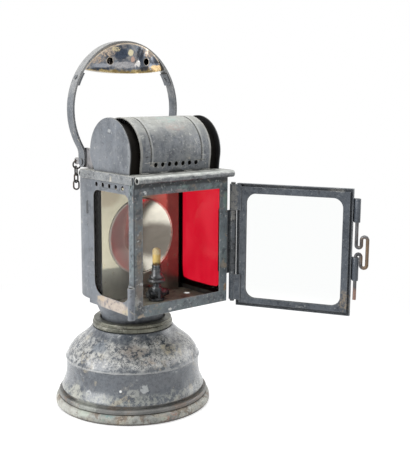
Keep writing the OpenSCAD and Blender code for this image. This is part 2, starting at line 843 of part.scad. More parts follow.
module ear(eyed) {
  difference() {
    union() {
      along_x(ear_x - ear_t, ear_x) {
        rounded([ear_front, roof_top + free_gap], [ear_front + 18.5, ear_top], 0.5, 8.5);
        if (eyed) translate([pivot_y, eye[2] - 2.6]) square([eye[1] - pivot_y, 5.2]);
        if (eyed) translate([eye[1], eye[2]]) circle(eye_r + 1.2);
      }
      block([ear_x - 9, ear_front + 0.5, roof_top],
        [ear_x - ear_t + 0.5, rear_bead[0] - 3, roof_top + ear_t]);
      block([ear_x - ear_t, ear_front + 0.5, roof_top], [ear_x, rear_bead[0] - 3, roof_top + ear_t]);
    }
    translate([0, pivot_y, pivot_at]) rod_x(0, half_w, bail_pin_r + run_gap);
    if (eyed) translate([0, eye[1], eye[2]]) rod_x(0, half_w, eye_r);
  }
}

module bail_ears() {
  color("slategray") {
    ear(false);
    mirror([1, 0, 0]) ear(true);
  }
}

module bail_pins() {
  color("gray") both_sides() translate([0, pivot_y, pivot_at]) {
    rod_x(ear_x - ear_t - 1.2, ear_x - ear_t, 2.8);
    rod_x(ear_x - ear_t - 0.1, foot_x + 0.4, bail_pin_r);
    rod_x(foot_x + 0.3, foot_x + 1.3, 2.8);
  }
}

// Bail outline in (x, z): crown, two bowed sides, two heels and two straight feet
module bail_half() {
  translate([0, crown_z]) sector(crown_r - strap_t, crown_r, join_a - 0.2, 90.2);
  translate([side_x, side_z]) sector(side_r - strap_t, side_r, -heel_a - 0.2, join_a + 0.2);
  translate([heel_x, heel_z]) sector(heel_r, heel_r + strap_t, 180 - heel_a - 0.3, 180.5);
  translate([foot_x - strap_t, pivot_at - strap_w / 2]) square([strap_t, heel_z - pivot_at + strap_w / 2]);
}

module bail_strap() {
  color("slategray") difference() {
    along_y(pivot_y - strap_w / 2, pivot_y + strap_w / 2) {
      bail_half();
      mirror([1, 0]) bail_half();
    }
    translate([0, pivot_y, pivot_at]) {
      difference() {
        rod_x(-bow_x, bow_x, strap_w);
        rod_x(-bow_x - 1, bow_x + 1, strap_w / 2);
        block([-bow_x - 1, -strap_w, 0], [bow_x + 1, strap_w, strap_w]);
      }
      rod_x(-bow_x, bow_x, bail_pin_r + run_gap);
    }
  }
}

// Grip: a hollow half moon under the crown, swollen front and back
grip_top = bail_top - strap_t;
grip_low = grip_top - grip_h;
grip_half = min(sqrt(pow(crown_r - strap_t, 2) - pow(grip_low + 3.4 - crown_z, 2)),
  side_x + sqrt(pow(side_r - strap_t, 2) - pow(grip_low + 3.4 - side_z, 2)));

// Room under the bail: the crown's circle, and on a wide flat bail the side circles beyond the joins
module under_bail(inset) {
  tall = 2 * grip_h;
  join_x = (crown_r - inset) * cos(join_a);
  if (crown_r < side_r) translate([0, crown_z]) circle(crown_r - inset, $fn = 240);
  if (crown_r >= side_r) intersection() {
    translate([0, crown_z]) circle(crown_r - inset, $fn = 240);
    translate([-join_x, bail_top - tall]) square([2 * join_x, tall]);
  }
  if (crown_r >= side_r) both_sides() intersection() {
    translate([side_x, side_z]) circle(side_r - inset, $fn = 240);
    translate([join_x - 0.3, bail_top - tall]) square([bow_x, tall]);
  }
}

module grip_moon(inset) {
  sag = 3.2;
  low_r = (grip_half * grip_half + sag * sag) / (2 * sag);
  intersection() {
    under_bail(strap_t + inset);
    translate([0, grip_low + low_r]) circle(low_r - inset, $fn = 480);
  }
}

module grip_body(inset) {
  ball = 150;
  depth = grip_d / 2 - inset;
  mid_z = (grip_top + grip_low) / 2 + 1;
  intersection() {
    along_y(pivot_y - grip_d, pivot_y + grip_d) grip_moon(inset);
    translate([0, pivot_y + ball - depth, mid_z]) sphere(ball, $fn = 360);
    translate([0, pivot_y - ball + depth, mid_z]) sphere(ball, $fn = 360);
  }
}

module bail_grip() {
  hole_x = grip_half * 0.46;
  color("tan") difference() {
    grip_body(0);
    grip_body(1.2);
    for (x = [-hole_x, hole_x]) translate([x, 0, grip_low + 11])
      rod_y(pivot_y - grip_d, pivot_y + grip_d, 3.2);
  }
}

tang_a = asin((grip_low + 2 - side_z) / side_r);
tang_b = asin((grip_low - 9.5 - side_z) / side_r);

module grip_tangs() {
  color("dimgray") along_y(pivot_y - strap_w / 2 + 0.6, pivot_y + strap_w / 2 - 0.6) {
    for (side = [0, 1]) mirror([side, 0]) translate([side_x, side_z])
      sector(side_r - strap_t - tang_t, side_r - strap_t, tang_b, tang_a);
  }
}

module grip_rivets() {
  color("gray") both_sides() translate([side_x, pivot_y, side_z]) rotate([0, -(tang_a + tang_b) / 2, 0]) {
    rod_x(side_r, side_r + 0.8, 2);
    rod_x(side_r - strap_t - tang_t - 0.84, side_r - strap_t - tang_t - 0.04, 2);
  }
}

// Puts a part of the shut door where the open door stands; the door runs along -x from its hinge
module on_door() {
  translate([hinge_x, hinge_y, 0]) rotate([0, 0, door_angle]) children();
}

module door_opening(grow) {
  rounded([-door_to + door_rail - grow, door_low + door_rail - 1 - grow],
    [-door_from - door_rail + grow, door_high - door_rail + grow], door_corner, door_corner);
}

// Distance from the door's edges to the retainer that holds its pane
retainer_in = 2.8;

module door_frame() {
  color("darkslategray") on_door() {
    along_y(door_out, door_out + thin_sheet) difference() {
      translate([-door_to, door_low]) square([door_to - door_from, door_high - door_low]);
      door_opening(0);
    }
    along_y(door_out, door_in) difference() {
      translate([-door_to, door_low]) square([door_to - door_from, door_high - door_low]);
      translate([-door_to + thin_sheet, door_low + thin_sheet])
        square([door_to - door_from - 2 * thin_sheet, door_high - door_low - 2 * thin_sheet]);
    }
  }
}

module door_glass() {
  edge = retainer_in + 0.4;
  color([0.85, 0.92, 0.92, 0.25]) on_door() block([-door_to + edge, door_out + thin_sheet, door_low + edge],
    [-door_from - edge, door_in - thin_sheet, door_high - edge]);
}

module door_retainer() {
  edge = retainer_in;
  color("darkslategray") on_door() along_y(door_in - thin_sheet, door_in) difference() {
    translate([-door_to + edge, door_low + edge])
      square([door_to - door_from - 2 * edge, door_high - door_low - 2 * edge]);
    door_opening(0);
  }
}

// Hinge knuckle between two heights, with its bore
module knuckle(low, high) {
  translate([0, 0, low]) difference() {
    cylinder(h = high - low, r = knuckle_r);
    translate([0, 0, -1]) cylinder(h = high - low + 2, r = pin_r + run_gap);
  }
}

module door_knuckles() {
  spans = [[door_low + 5.4, knuckle_low - free_gap], [knuckle_high + free_gap, door_high - 1.1]];
  color("darkslategray") on_door() for (span = spans) difference() {
    union() {
      translate([0, 0, span[0]]) cylinder(h = span[1] - span[0], r = knuckle_r);
      block([-door_from - 4.4, door_in, span[0]], [0, door_in + leaf_t, span[1]]);
    }
    translate([0, 0, span[0] - 1]) cylinder(h = span[1] - span[0] + 2, r = pin_r + run_gap);
  }
}

module hinge_leaf() {
  color("darkslategray") difference() {
    union() {
      translate([hinge_x, hinge_y, knuckle_low]) cylinder(h = knuckle_high - knuckle_low, r = knuckle_r);
      block([half_w, -front_y, knuckle_low], [hinge_x, -front_y + leaf_t, knuckle_high]);
      block([half_w, -front_y, knuckle_low], [half_w + leaf_t, -front_y + 12, knuckle_high]);
    }
    translate([hinge_x, hinge_y, knuckle_low - 1]) cylinder(h = head_h, r = pin_r + run_gap);
    for (z = rivet_z) translate([0, rivet_y, z]) rod_x(0, hinge_x, 1.3);
  }
}

module hinge_pin() {
  color("gray") translate([hinge_x, hinge_y, 0]) {
    translate([0, 0, door_low + 4.2]) cylinder(h = door_high - door_low - 4.6, r = pin_r);
    translate([0, 0, door_low + 3.6]) cylinder(h = 1.2, r = 2.1);
    translate([0, 0, door_high - 0.7]) cylinder(h = 1.2, r = 2.1);
  }
}

module latch_guides() {
  color("darkslategray") on_door() for (low = [low_guide_top - guide_h, high_guide]) difference() {
    union() {
      translate([-rod_s, 0, low]) cylinder(h = guide_h, r = guide_r);
      block([-rod_s, -guide_r, low], [-rod_s + 10, door_out, low + guide_h]);
    }
    translate([-rod_s, 0, low - 1]) cylinder(h = guide_h + 2, r = guide_bore);
  }
}

// Round wire bent in the door's plane; places are (distance out from the rod, height)
module wire_bend(mid, r, from) {
  translate([-rod_s - mid[0], 0, mid[1]]) rotate([90, 0, 0]) rotate([0, 0, from]) rotate_extrude(angle = 180)
    translate([r, 0]) circle(wire_r);
}

module wire_run(out, low, high) {
  translate([-rod_s - out, 0, low]) cylinder(h = high - low, r = wire_r);
}

module latch_rod() {
  inner = 2 * bend_r;
  bend_low = latch_mid - 3.9;
  bend_high = latch_mid + 6.3;
  loop_low = latch_mid - 11.2;
  loop_high = latch_mid + 11.2;
  color("silver") on_door() {
    wire_run(0, rod_end, bend_low);
    wire_bend([bend_r, bend_low], bend_r, 0);
    wire_run(inner, loop_low, bend_low);
    wire_bend([inner + loop_r, loop_low], loop_r, 180);
    wire_run(inner + 2 * loop_r, loop_low, loop_high);
    wire_bend([inner + loop_r, loop_high], loop_r, 0);
    wire_run(inner, bend_high, loop_high);
    wire_bend([bend_r, bend_high], bend_r, 180);
    wire_run(0, bend_high, high_guide + guide_h - 0.6);
  }
}

module latch_keeper() {
  x = hinge_x - rod_s;
  color("slategray") difference() {
    union() {
      translate([x, hinge_y, keeper_low]) cylinder(h = keeper_high - keeper_low, r = keeper_r);
      block([x, -front_y + 0.1, keeper_low], [-half_w, -front_y + 0.1 + leaf_t, keeper_high]);
      block([-half_w - leaf_t, -front_y + 0.1, keeper_low], [-half_w, -front_y + flange_d, keeper_high]);
    }
    translate([x, hinge_y, keeper_low + sheet]) cylinder(h = head_h, r = wire_r + free_gap);
    for (z = rivet_z) translate([0, rivet_y, z]) rod_x(x, 0, 1.3);
  }
}

// Link standing in the (y, z) plane with its middle at the origin
module link(length, width) {
  bend = width / 2 - link_r;
  straight = length - width;
  rotate([90, 0, 90]) {
    for (end = [0, 1]) mirror([0, end]) translate([0, straight / 2]) rotate_extrude(angle = 180)
      translate([bend, 0]) circle(link_r, $fn = 24);
    for (side = [-1, 1]) translate([side * bend, straight / 2]) rotate([90, 0, 0])
      cylinder(h = straight, r = link_r, $fn = 24);
  }
}

module chain_ring() {
  color("gray") translate(ring_at) rotate([0, 0, ring_turn]) rotate([90, 0, 90]) rotate_extrude()
    translate([ring_r_mid, 0]) circle(link_r, $fn = 24);
}

module chain_links() {
  pitch = link_l - 4 * link_r - link_gap;
  color("gray") for (i = [0:links - 1])
    translate(link_top - [0, 0, link_l / 2 - link_r + i * pitch])
      rotate([0, 0, ring_turn - (i + 1) * link_twist]) link(link_l, link_w);
}

generator_shell();
foot_ring();
bottom_pan();
carbide_canister();
canister_lid();
neck_socket();
neck_gasket();
neck_ring();
collar();
head_floor();
left_wall();
right_wall();
front_frame();
frame_rivets();
rear_housing();
rear_crown();
left_glass();
red_glass();
left_channels();
right_channels();
reflector_plate();
reflector_dish();
reflector_brackets();
reflector_screws();
burner_body();
burner_nipple();
burner_sleeve();
burner_tip();
tap_key();
gas_pipe();
roof_plate();
cowl_flue();
cowl_shell();
cowl_end_left();
cowl_end_right();
bail_ears();
bail_pins();
bail_strap();
bail_grip();
grip_tangs();
grip_rivets();
hinge_leaf();
hinge_pin();
door_frame();
door_glass();
door_retainer();
door_knuckles();
latch_guides();
latch_rod();
latch_keeper();
chain_ring();
chain_links();
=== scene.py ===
import json
import math
import bpy
import bmesh
from mathutils import Matrix, Vector, noise


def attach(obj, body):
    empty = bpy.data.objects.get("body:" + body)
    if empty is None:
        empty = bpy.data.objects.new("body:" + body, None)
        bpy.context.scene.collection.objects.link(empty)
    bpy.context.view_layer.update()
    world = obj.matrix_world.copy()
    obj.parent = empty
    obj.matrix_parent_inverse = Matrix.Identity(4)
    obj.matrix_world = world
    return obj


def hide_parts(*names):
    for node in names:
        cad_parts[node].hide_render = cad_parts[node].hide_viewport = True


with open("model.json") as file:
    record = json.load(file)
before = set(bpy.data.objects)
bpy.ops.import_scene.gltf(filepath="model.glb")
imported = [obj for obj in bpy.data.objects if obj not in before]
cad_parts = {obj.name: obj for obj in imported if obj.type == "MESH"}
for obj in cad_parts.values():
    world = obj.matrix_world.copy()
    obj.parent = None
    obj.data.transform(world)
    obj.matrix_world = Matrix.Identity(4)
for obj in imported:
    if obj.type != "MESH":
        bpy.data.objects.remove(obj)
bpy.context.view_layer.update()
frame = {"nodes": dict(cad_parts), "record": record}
nodes = frame["nodes"]
print("frame loaded:", len(nodes), "nodes")


# Camera: metres and degrees, in the lantern's own frame
view = {
    "place": (-0.46439, -0.66393, 0.30805),
    "azimuth": -39.89,
    "down": 10.36,
    "roll": 0.42,
    "lens": 65.53,
    "sensor": 36,             # mm
    "clip": (0.01, 20),
}


def makeCamera():
    turn, tip, roll = (math.radians(view[k]) for k in ("azimuth", "down", "roll"))
    back = Vector((math.sin(turn) * math.cos(tip), -math.cos(turn) * math.cos(tip), math.sin(tip)))
    right = (-back).cross(Vector((0, 0, 1))).normalized()
    up = right.cross(-back)
    rolledRight = right * math.cos(roll) + up * math.sin(roll)
    rolledUp = up * math.cos(roll) - right * math.sin(roll)
    lens = bpy.data.cameras.new("camera")
    lens.lens = view["lens"]
    lens.sensor_width = view["sensor"]
    lens.clip_start, lens.clip_end = view["clip"]
    camera = bpy.data.objects.new("camera", lens)
    turnMatrix = Matrix((rolledRight, rolledUp, back)).transposed().to_4x4()
    camera.matrix_world = Matrix.Translation(view["place"]) @ turnMatrix
    bpy.context.scene.collection.objects.link(camera)
    bpy.context.scene.camera = camera


# Node tree helpers

def addNode(tree, kind, settings=None, values=None):
    node = tree.nodes.new(kind)
    for key, value in (settings or {}).items():
        setattr(node, key, value)
    for key, value in (values or {}).items():
        socket = node.inputs[key]
        if isinstance(value, bpy.types.NodeSocket):
            tree.links.new(value, socket)
        else:
            socket.default_value = value
    return node


def calc(tree, how, a, b=0.5, clamp=False):
    settings = {"operation": how, "use_clamp": clamp}
    return addNode(tree, "ShaderNodeMath", settings, {0: a, 1: b}).outputs[0]


def vectorCalc(tree, how, a, b=None):
    values = {0: a} if b is None else {0: a, 1: b}
    outputs = addNode(tree, "ShaderNodeVectorMath", {"operation": how}, values).outputs
    return outputs["Value" if how in ("LENGTH", "DOT_PRODUCT") else "Vector"]


def blendColour(tree, share, a, b):
    return addNode(tree, "ShaderNodeMix", {"data_type": "RGBA"}, {0: share, 6: a, 7: b}).outputs[2]


def spread(tree, value, low, high, toLow=0.0, toHigh=1.0):
    values = {0: value, 1: low, 2: high, 3: toLow, 4: toHigh}
    return addNode(tree, "ShaderNodeMapRange", {"interpolation_type": "SMOOTHSTEP"}, values).outputs[0]


def noiseAt(tree, place, scale, detail=4.0, rough=0.55, bend=0.0):
    values = {"Vector": place, "Scale": scale, "Detail": detail, "Roughness": rough, "Distortion": bend}
    return addNode(tree, "ShaderNodeTexNoise", None, values).outputs[0]


def shifted(tree, place, shift=0.0, scale=(1, 1, 1)):
    values = {"Vector": place, "Location": (shift, shift, shift), "Scale": scale}
    return addNode(tree, "ShaderNodeMapping", None, values).outputs[0]


def bumped(tree, height, strength, distance, normal=None):
    values = {"Height": height, "Strength": strength, "Distance": distance}
    if normal is not None:
        values["Normal"] = normal
    return addNode(tree, "ShaderNodeBump", None, values).outputs[0]


def mixShaders(tree, share, a, b):
    values = {0: share, 1: a.outputs[0], 2: b.outputs[0]}
    return addNode(tree, "ShaderNodeMixShader", None, values)


# A group with a place, further inputs (None for a vector, or a number's usual value) and outputs
def newGroup(name, outputs, **inputs):
    group = bpy.data.node_groups.new(name, "ShaderNodeTree")
    for title, value in {"Place": None, **inputs}.items():
        kind = "NodeSocketVector" if value is None else "NodeSocketFloat"
        socket = group.interface.new_socket(title, in_out="INPUT", socket_type=kind)
        if value is not None:
            socket.default_value = value
    for title in outputs:
        group.interface.new_socket(title, in_out="OUTPUT", socket_type="NodeSocketFloat")
    entry = group.nodes.new("NodeGroupInput")
    leave = group.nodes.new("NodeGroupOutput")
    return group, entry.outputs, leave.inputs


# Broad tone, hue clouds, fine grain, pale specks and dark pits of old paint
mottleLayers = [
    {"name": "Broad", "times": 1.0, "shift": 0.0, "detail": 6.0, "rough": 0.62, "low": 0.36, "high": 0.64},
    {"name": "Clouds", "times": 2.1, "shift": 3.1, "detail": 7.0, "rough": 0.7, "low": 0.46, "high": 0.62},
    {"name": "Fine", "times": 8.0, "shift": 5.7, "detail": 8.0, "rough": 0.75, "low": 0.32, "high": 0.68},
    {"name": "Specks", "times": 15.0, "shift": 1.3, "detail": 4.0, "rough": 0.6, "low": 0.6, "high": 0.7},
    {"name": "Pits", "times": 11.0, "shift": 8.9, "detail": 5.0, "rough": 0.65, "low": 0.58, "high": 0.7},
]


def makeMottle():
    group, given, put = newGroup("mottle", [layer["name"] for layer in mottleLayers], Size=30.0)
    for layer in mottleLayers:
        moved = shifted(group, given["Place"], layer["shift"])
        size = calc(group, "MULTIPLY", given["Size"], layer["times"])
        grain = noiseAt(group, moved, size, layer["detail"], layer["rough"], 0.3)
        group.links.new(spread(group, grain, layer["low"], layer["high"]), put[layer["name"]])
    return group


# Noise that breaks each effect up: scale (where the layer gives none), detail, roughness and distortion
grains = {
    "flakes": (10.0, 0.72, 0.5),
    "flakePatches": (3.0, 0.6),
    "crackle": (3.0, 0.55, 1.6),
    "cracklePatches": (5.0, 0.6),
    "runs": (5.0, 0.65),
    "scratches": (3.0, 0.6, 1.5),
    "rub": (150.0, 6.0, 0.65),
    "cornerShade": (130.0, 6.0, 0.65),
    "dustAndTopLight": (90.0, 8.0, 0.7),
    "spot": (190.0, 9.0, 0.72),
    "block": (120.0, 9.0, 0.7),
    "tint": (30.0, 5.0, 0.65),
    "smear": (25.0, 5.0, 0.6),
}

# Where each mask begins and ends
cuts = {
    "cracklePatches": (0.45, 0.6),
    "runs": (0.48, 0.7),
    "scratches": (0.62, 0.7),
    "bent": (0.01, 0.14),
    "rub": (0.34, 0.58),
    "cornerShade": (0.35, 0.85),
    "dustAndTopLight": (0.35, 0.95),
    "inward": (0.1, 0.16),
    "spot": (0.7, 1.15),
    "brokenWide": (0.0, 0.45),
    "broken": (0.2, 0.8),
    "tint": (0.35, 0.7),
    "smear": (0.3, 0.8),
}


def wobbleAt(group, given, name):
    return calc(group, "SUBTRACT", noiseAt(group, given["Place"], *grains[name]), 0.5)


# Ragged flakes that gather in patches
flakeCut = {"level": 0.84, "amount": 0.42, "patches": 0.22, "edge": 0.035}


def makeFlakes():
    group, given, put = newGroup("flakes", ["Mask"], Size=60.0, Amount=0.2, Shift=0.0)
    shift = given["Shift"]
    turn = addNode(group, "ShaderNodeCombineXYZ", None, {0: shift, 1: shift, 2: shift})
    moved = vectorCalc(group, "ADD", given["Place"], turn.outputs[0])
    ragged = noiseAt(group, moved, given["Size"], *grains["flakes"])
    patches = noiseAt(group, moved, calc(group, "MULTIPLY", given["Size"], 0.25), *grains["flakePatches"])
    asked = calc(group, "MULTIPLY", given["Amount"], flakeCut["amount"])
    level = calc(group, "SUBTRACT", flakeCut["level"], asked)
    level = calc(group, "SUBTRACT", level, calc(group, "MULTIPLY", patches, flakeCut["patches"]))
    group.links.new(spread(group, calc(group, "SUBTRACT", ragged, level), 0.0, flakeCut["edge"]), put["Mask"])
    return group


# Thin, crooked lines of corrosion
def makeCrackle():
    group, given, put = newGroup("crackle", ["Mask"], Size=110.0, Thin=0.022)
    wavy = noiseAt(group, given["Place"], given["Size"], *grains["crackle"])
    offLine = calc(group, "ABSOLUTE", calc(group, "SUBTRACT", wavy, 0.5), 0.0)
    line = spread(group, offLine, 0.0, given["Thin"], 1.0, 0.0)
    wide = calc(group, "MULTIPLY", given["Size"], 0.3)
    patches = noiseAt(group, given["Place"], wide, *grains["cracklePatches"])
    patches = spread(group, patches, *cuts["cracklePatches"])
    group.links.new(calc(group, "MULTIPLY", line, patches, True), put["Mask"])
    return group


# Rain streaks and fine scratches that run down the sheet
def makeStreaks():
    group, given, put = newGroup("streaks", ["Runs", "Scratches"], Size=90.0)
    drawnDown = shifted(group, given["Place"], 0.0, (1, 1, 0.08))
    runs = noiseAt(group, drawnDown, given["Size"], *grains["runs"])
    crossed = shifted(group, given["Place"], 2.0, (0.2, 0.9, 1.0))
    scratches = noiseAt(group, crossed, calc(group, "MULTIPLY", given["Size"], 5.0), *grains["scratches"])
    group.links.new(spread(group, runs, *cuts["runs"]), put["Runs"])
    group.links.new(spread(group, scratches, *cuts["scratches"]), put["Scratches"])
    return group


# Edges that hands and tables have rubbed, broken up by noise
def makeEdgeRub():
    group, given, put = newGroup("edgeRub", ["Mask"], Reach=0.0009)
    rounded = addNode(group, "ShaderNodeBevel", {"samples": 4}, {"Radius": given["Reach"]}).outputs[0]
    true = addNode(group, "ShaderNodeNewGeometry").outputs["Normal"]
    facing = vectorCalc(group, "DOT_PRODUCT", rounded, true)
    bent = spread(group, calc(group, "SUBTRACT", 1.0, facing), *cuts["bent"])
    patchy = spread(group, noiseAt(group, given["Place"], *grains["rub"]), *cuts["rub"])
    group.links.new(calc(group, "MULTIPLY", bent, patchy, True), put["Mask"])
    return group


# Painted shade in corners and seams, darkest where ambient occlusion is strongest
def makeCornerShade():
    group, given, put = newGroup("cornerShade", ["Mask"], Reach=0.005)
    corner = addNode(group, "ShaderNodeAmbientOcclusion", {"samples": 6}, {"Distance": given["Reach"]})
    wobble = calc(group, "MULTIPLY", wobbleAt(group, given, "cornerShade"), 0.5)
    openness = calc(group, "ADD", corner.outputs["AO"], wobble)
    group.links.new(spread(group, openness, *cuts["cornerShade"], 1.0, 0.0), put["Mask"])
    return group


# Dust and bleaching on what faces up, and painted light that makes the tops lighter
def makeDustAndTopLight():
    group, given, put = newGroup("dustAndTopLight", ["Mask"], Normal=None)
    up = addNode(group, "ShaderNodeSeparateXYZ", None, {0: given["Normal"]}).outputs[2]
    slope = calc(group, "ADD", up, wobbleAt(group, given, "dustAndTopLight"))
    group.links.new(spread(group, slope, *cuts["dustAndTopLight"]), put["Mask"])
    return group


# Faces of a box or shell that look towards its middle
def makeInward():
    group, given, put = newGroup("inward", ["Mask"], Normal=None, Centre=None)
    inwards = vectorCalc(group, "NORMALIZE", vectorCalc(group, "SUBTRACT", given["Centre"], given["Place"]))
    facing = vectorCalc(group, "DOT_PRODUCT", inwards, given["Normal"])
    group.links.new(spread(group, facing, *cuts["inward"]), put["Mask"])
    return group


# Distance from a centre, counted in reaches
def farFrom(group, given):
    away = vectorCalc(group, "SUBTRACT", given["Place"], given["Centre"])
    return vectorCalc(group, "LENGTH", vectorCalc(group, "DIVIDE", away, given["Reach"]))


# Everything farther from a line or point than a reach, with a fine edge
def makeBeyond():
    group, given, put = newGroup("beyond", ["Mask"], Centre=None, Reach=None, Soft=0.01)
    low = calc(group, "SUBTRACT", 1.0, given["Soft"])
    high = calc(group, "ADD", 1.0, given["Soft"])
    group.links.new(spread(group, farFrom(group, given), low, high), put["Mask"])
    return group


# One blurred, ragged spot at a place on the lantern
def makeSpot():
    group, given, put = newGroup("spot", ["Mask"], Centre=None, Reach=None, Ragged=0.9)
    ragged = calc(group, "MULTIPLY", given["Ragged"], 3.0)
    wobble = calc(group, "MULTIPLY", wobbleAt(group, given, "spot"), ragged)
    edge = calc(group, "ADD", farFrom(group, given), wobble)
    group.links.new(spread(group, edge, *cuts["spot"], 1.0, 0.0), put["Mask"])
    return group


# A block of the lantern between two corners, with soft, ragged sides
def makeBlock():
    group, given, put = newGroup("block", ["Mask"], Low=None, High=None, Soft=0.001, Ragged=0.0)
    over = vectorCalc(group, "SUBTRACT", given["Place"], given["Low"])
    under = vectorCalc(group, "SUBTRACT", given["High"], given["Place"])
    least = vectorCalc(group, "MINIMUM", over, under)
    side = addNode(group, "ShaderNodeSeparateXYZ", None, {0: least}).outputs
    inside = calc(group, "MINIMUM", calc(group, "MINIMUM", side[0], side[1]), side[2])
    wobble = calc(group, "MULTIPLY", wobbleAt(group, given, "block"), given["Ragged"])
    inside = calc(group, "ADD", inside, wobble)
    soft = calc(group, "MULTIPLY", given["Soft"], -1.0)
    group.links.new(spread(group, inside, soft, given["Soft"]), put["Mask"])
    return group


groups = {
    "mottle": makeMottle(),
    "flakes": makeFlakes(),
    "crackle": makeCrackle(),
    "streaks": makeStreaks(),
    "rub": makeEdgeRub(),
    "cornerShade": makeCornerShade(),
    "dustAndTopLight": makeDustAndTopLight(),
    "inward": makeInward(),
    "beyond": makeBeyond(),
    "spot": makeSpot(),
    "block": makeBlock(),
}


def useGroup(tree, name, **values):
    settings = {"node_tree": groups[name]}
    return addNode(tree, "ShaderNodeGroup", settings, values).outputs


def newMaterial(name):
    material = bpy.data.materials.new(name)
    material.use_nodes = True
    tree = material.node_tree
    tree.nodes.clear()
    shader = tree.nodes.new("ShaderNodeBsdfPrincipled")
    output = tree.nodes.new("ShaderNodeOutputMaterial")
    tree.links.new(shader.outputs[0], output.inputs[0])
    place = tree.nodes.new("ShaderNodeTexCoord").outputs["Object"]
    return material, tree, shader, output, place


def rgb(*levels):
    return tuple(levels) + (1.0,)


def mm(*lengths):
    return tuple(length / 1000 for length in lengths)


# Which input of its effect each value of a layer goes to
layerInputs = {
    "size": "Size", "amount": "Amount", "shift": "Shift", "thin": "Thin", "soft": "Soft",
    "ragged": "Ragged", "at": "Centre", "reach": "Reach", "low": "Low", "high": "High",
}


# The mask of one layer of wear
def layerMask(tree, place, layer, mottle):
    kind = layer["kind"]
    if kind in mottle.keys():
        return mottle[kind]
    values = {"Place": place}
    for key, title in layerInputs.items():
        if key in layer:
            values[title] = mm(*layer[key]) if isinstance(layer[key], tuple) else layer[key]
    if kind in ("dustAndTopLight", "inward"):
        values["Normal"] = tree.nodes.new("ShaderNodeTexCoord").outputs["Normal"]
    if kind in ("Runs", "Scratches"):
        return useGroup(tree, "streaks", **values)[kind]
    return useGroup(tree, kind, **values)["Mask"]


# Aged finish: two tones, then layers of wear, each with its own mask, colour, gloss and height
surface = {"fineBump": 0.0004, "waveBump": 0.004, "wave": (2.0, 0.5), "coatRough": 0.25,
           "bandSoft": 0.003, "bandRagged": 0.012}


def agedFinish(name, look):
    material, tree, shader, output, place = newMaterial(name)
    moved = shifted(tree, place, look.get("shift", 0.0))
    mottle = useGroup(tree, "mottle", Place=moved, Size=look.get("size", 30.0))
    colour = blendColour(tree, mottle["Broad"], rgb(*look["dark"]), rgb(*look["light"]))
    wide = look.get("roughSpread", 0.1)
    rough = spread(tree, mottle["Fine"], 0.0, 1.0, look["rough"] - wide, look["rough"] + wide)
    metal = None
    height = calc(tree, "MULTIPLY", mottle["Fine"], look.get("grain", 0.3))
    for layer in look["layers"]:
        mask = layerMask(tree, place, layer, mottle)
        if "within" in layer:      # heights, mm
            low, high = layer["within"]
            band = useGroup(tree, "block", Place=place, Low=mm(-1000, -1000, low),
                            High=mm(1000, 1000, high), Soft=surface["bandSoft"],
                            Ragged=surface["bandRagged"])
            mask = calc(tree, "MULTIPLY", mask, band["Mask"])
        if layer.get("broken") == "Wide":
            mask = calc(tree, "MULTIPLY", mask, spread(tree, mottle["Fine"], *cuts["brokenWide"]))
        elif layer.get("broken"):
            mask = calc(tree, "MULTIPLY", mask, spread(tree, mottle[layer["broken"]], *cuts["broken"]))
        mask = calc(tree, "MULTIPLY", mask, layer["strength"], True)
        shade = rgb(*layer["colour"])
        if "second" in layer:
            shade = blendColour(tree, mottle[layer.get("between", "Fine")], shade, rgb(*layer["second"]))
        colour = blendColour(tree, mask, colour, shade)
        if "rough" in layer:
            change = calc(tree, "MULTIPLY", mask, calc(tree, "SUBTRACT", layer["rough"], rough))
            rough = calc(tree, "ADD", rough, change)
        if "metal" in layer:
            level = calc(tree, "MULTIPLY", mask, layer["metal"])
            metal = level if metal is None else calc(tree, "MAXIMUM", metal, level)
        if "depth" in layer:
            height = calc(tree, "ADD", height, calc(tree, "MULTIPLY", mask, layer["depth"]))
    wave = noiseAt(tree, place, look.get("waveSize", 22.0), *surface["wave"])
    normal = bumped(tree, wave, look.get("wave", 0.25), surface["waveBump"])
    normal = bumped(tree, height, look.get("bump", 0.5), surface["fineBump"], normal)
    if "flatter" in look:      # a bowl that reflects as a shallower one would
        share, facing = look["flatter"]
        across = addNode(tree, "ShaderNodeMix", {"data_type": "VECTOR"}, {0: share, 4: normal, 5: facing})
        normal = vectorCalc(tree, "NORMALIZE", across.outputs[1])
    tree.links.new(colour, shader.inputs["Base Color"])
    tree.links.new(rough, shader.inputs["Roughness"])
    tree.links.new(normal, shader.inputs["Normal"])
    if metal is None:
        shader.inputs["Metallic"].default_value = look.get("metallic", 0.0)
    else:
        tree.links.new(calc(tree, "MAXIMUM", metal, look.get("metallic", 0.0)), shader.inputs["Metallic"])
    shader.inputs["Specular IOR Level"].default_value = look.get("specular", 0.4)
    shader.inputs["Coat Weight"].default_value = look.get("coat", 0.0)
    shader.inputs["Coat Roughness"].default_value = surface["coatRough"]
    return material


# Glass lets the lamps' light through, so that the chamber behind it is lit; smears make it rougher
smearRough = 0.08


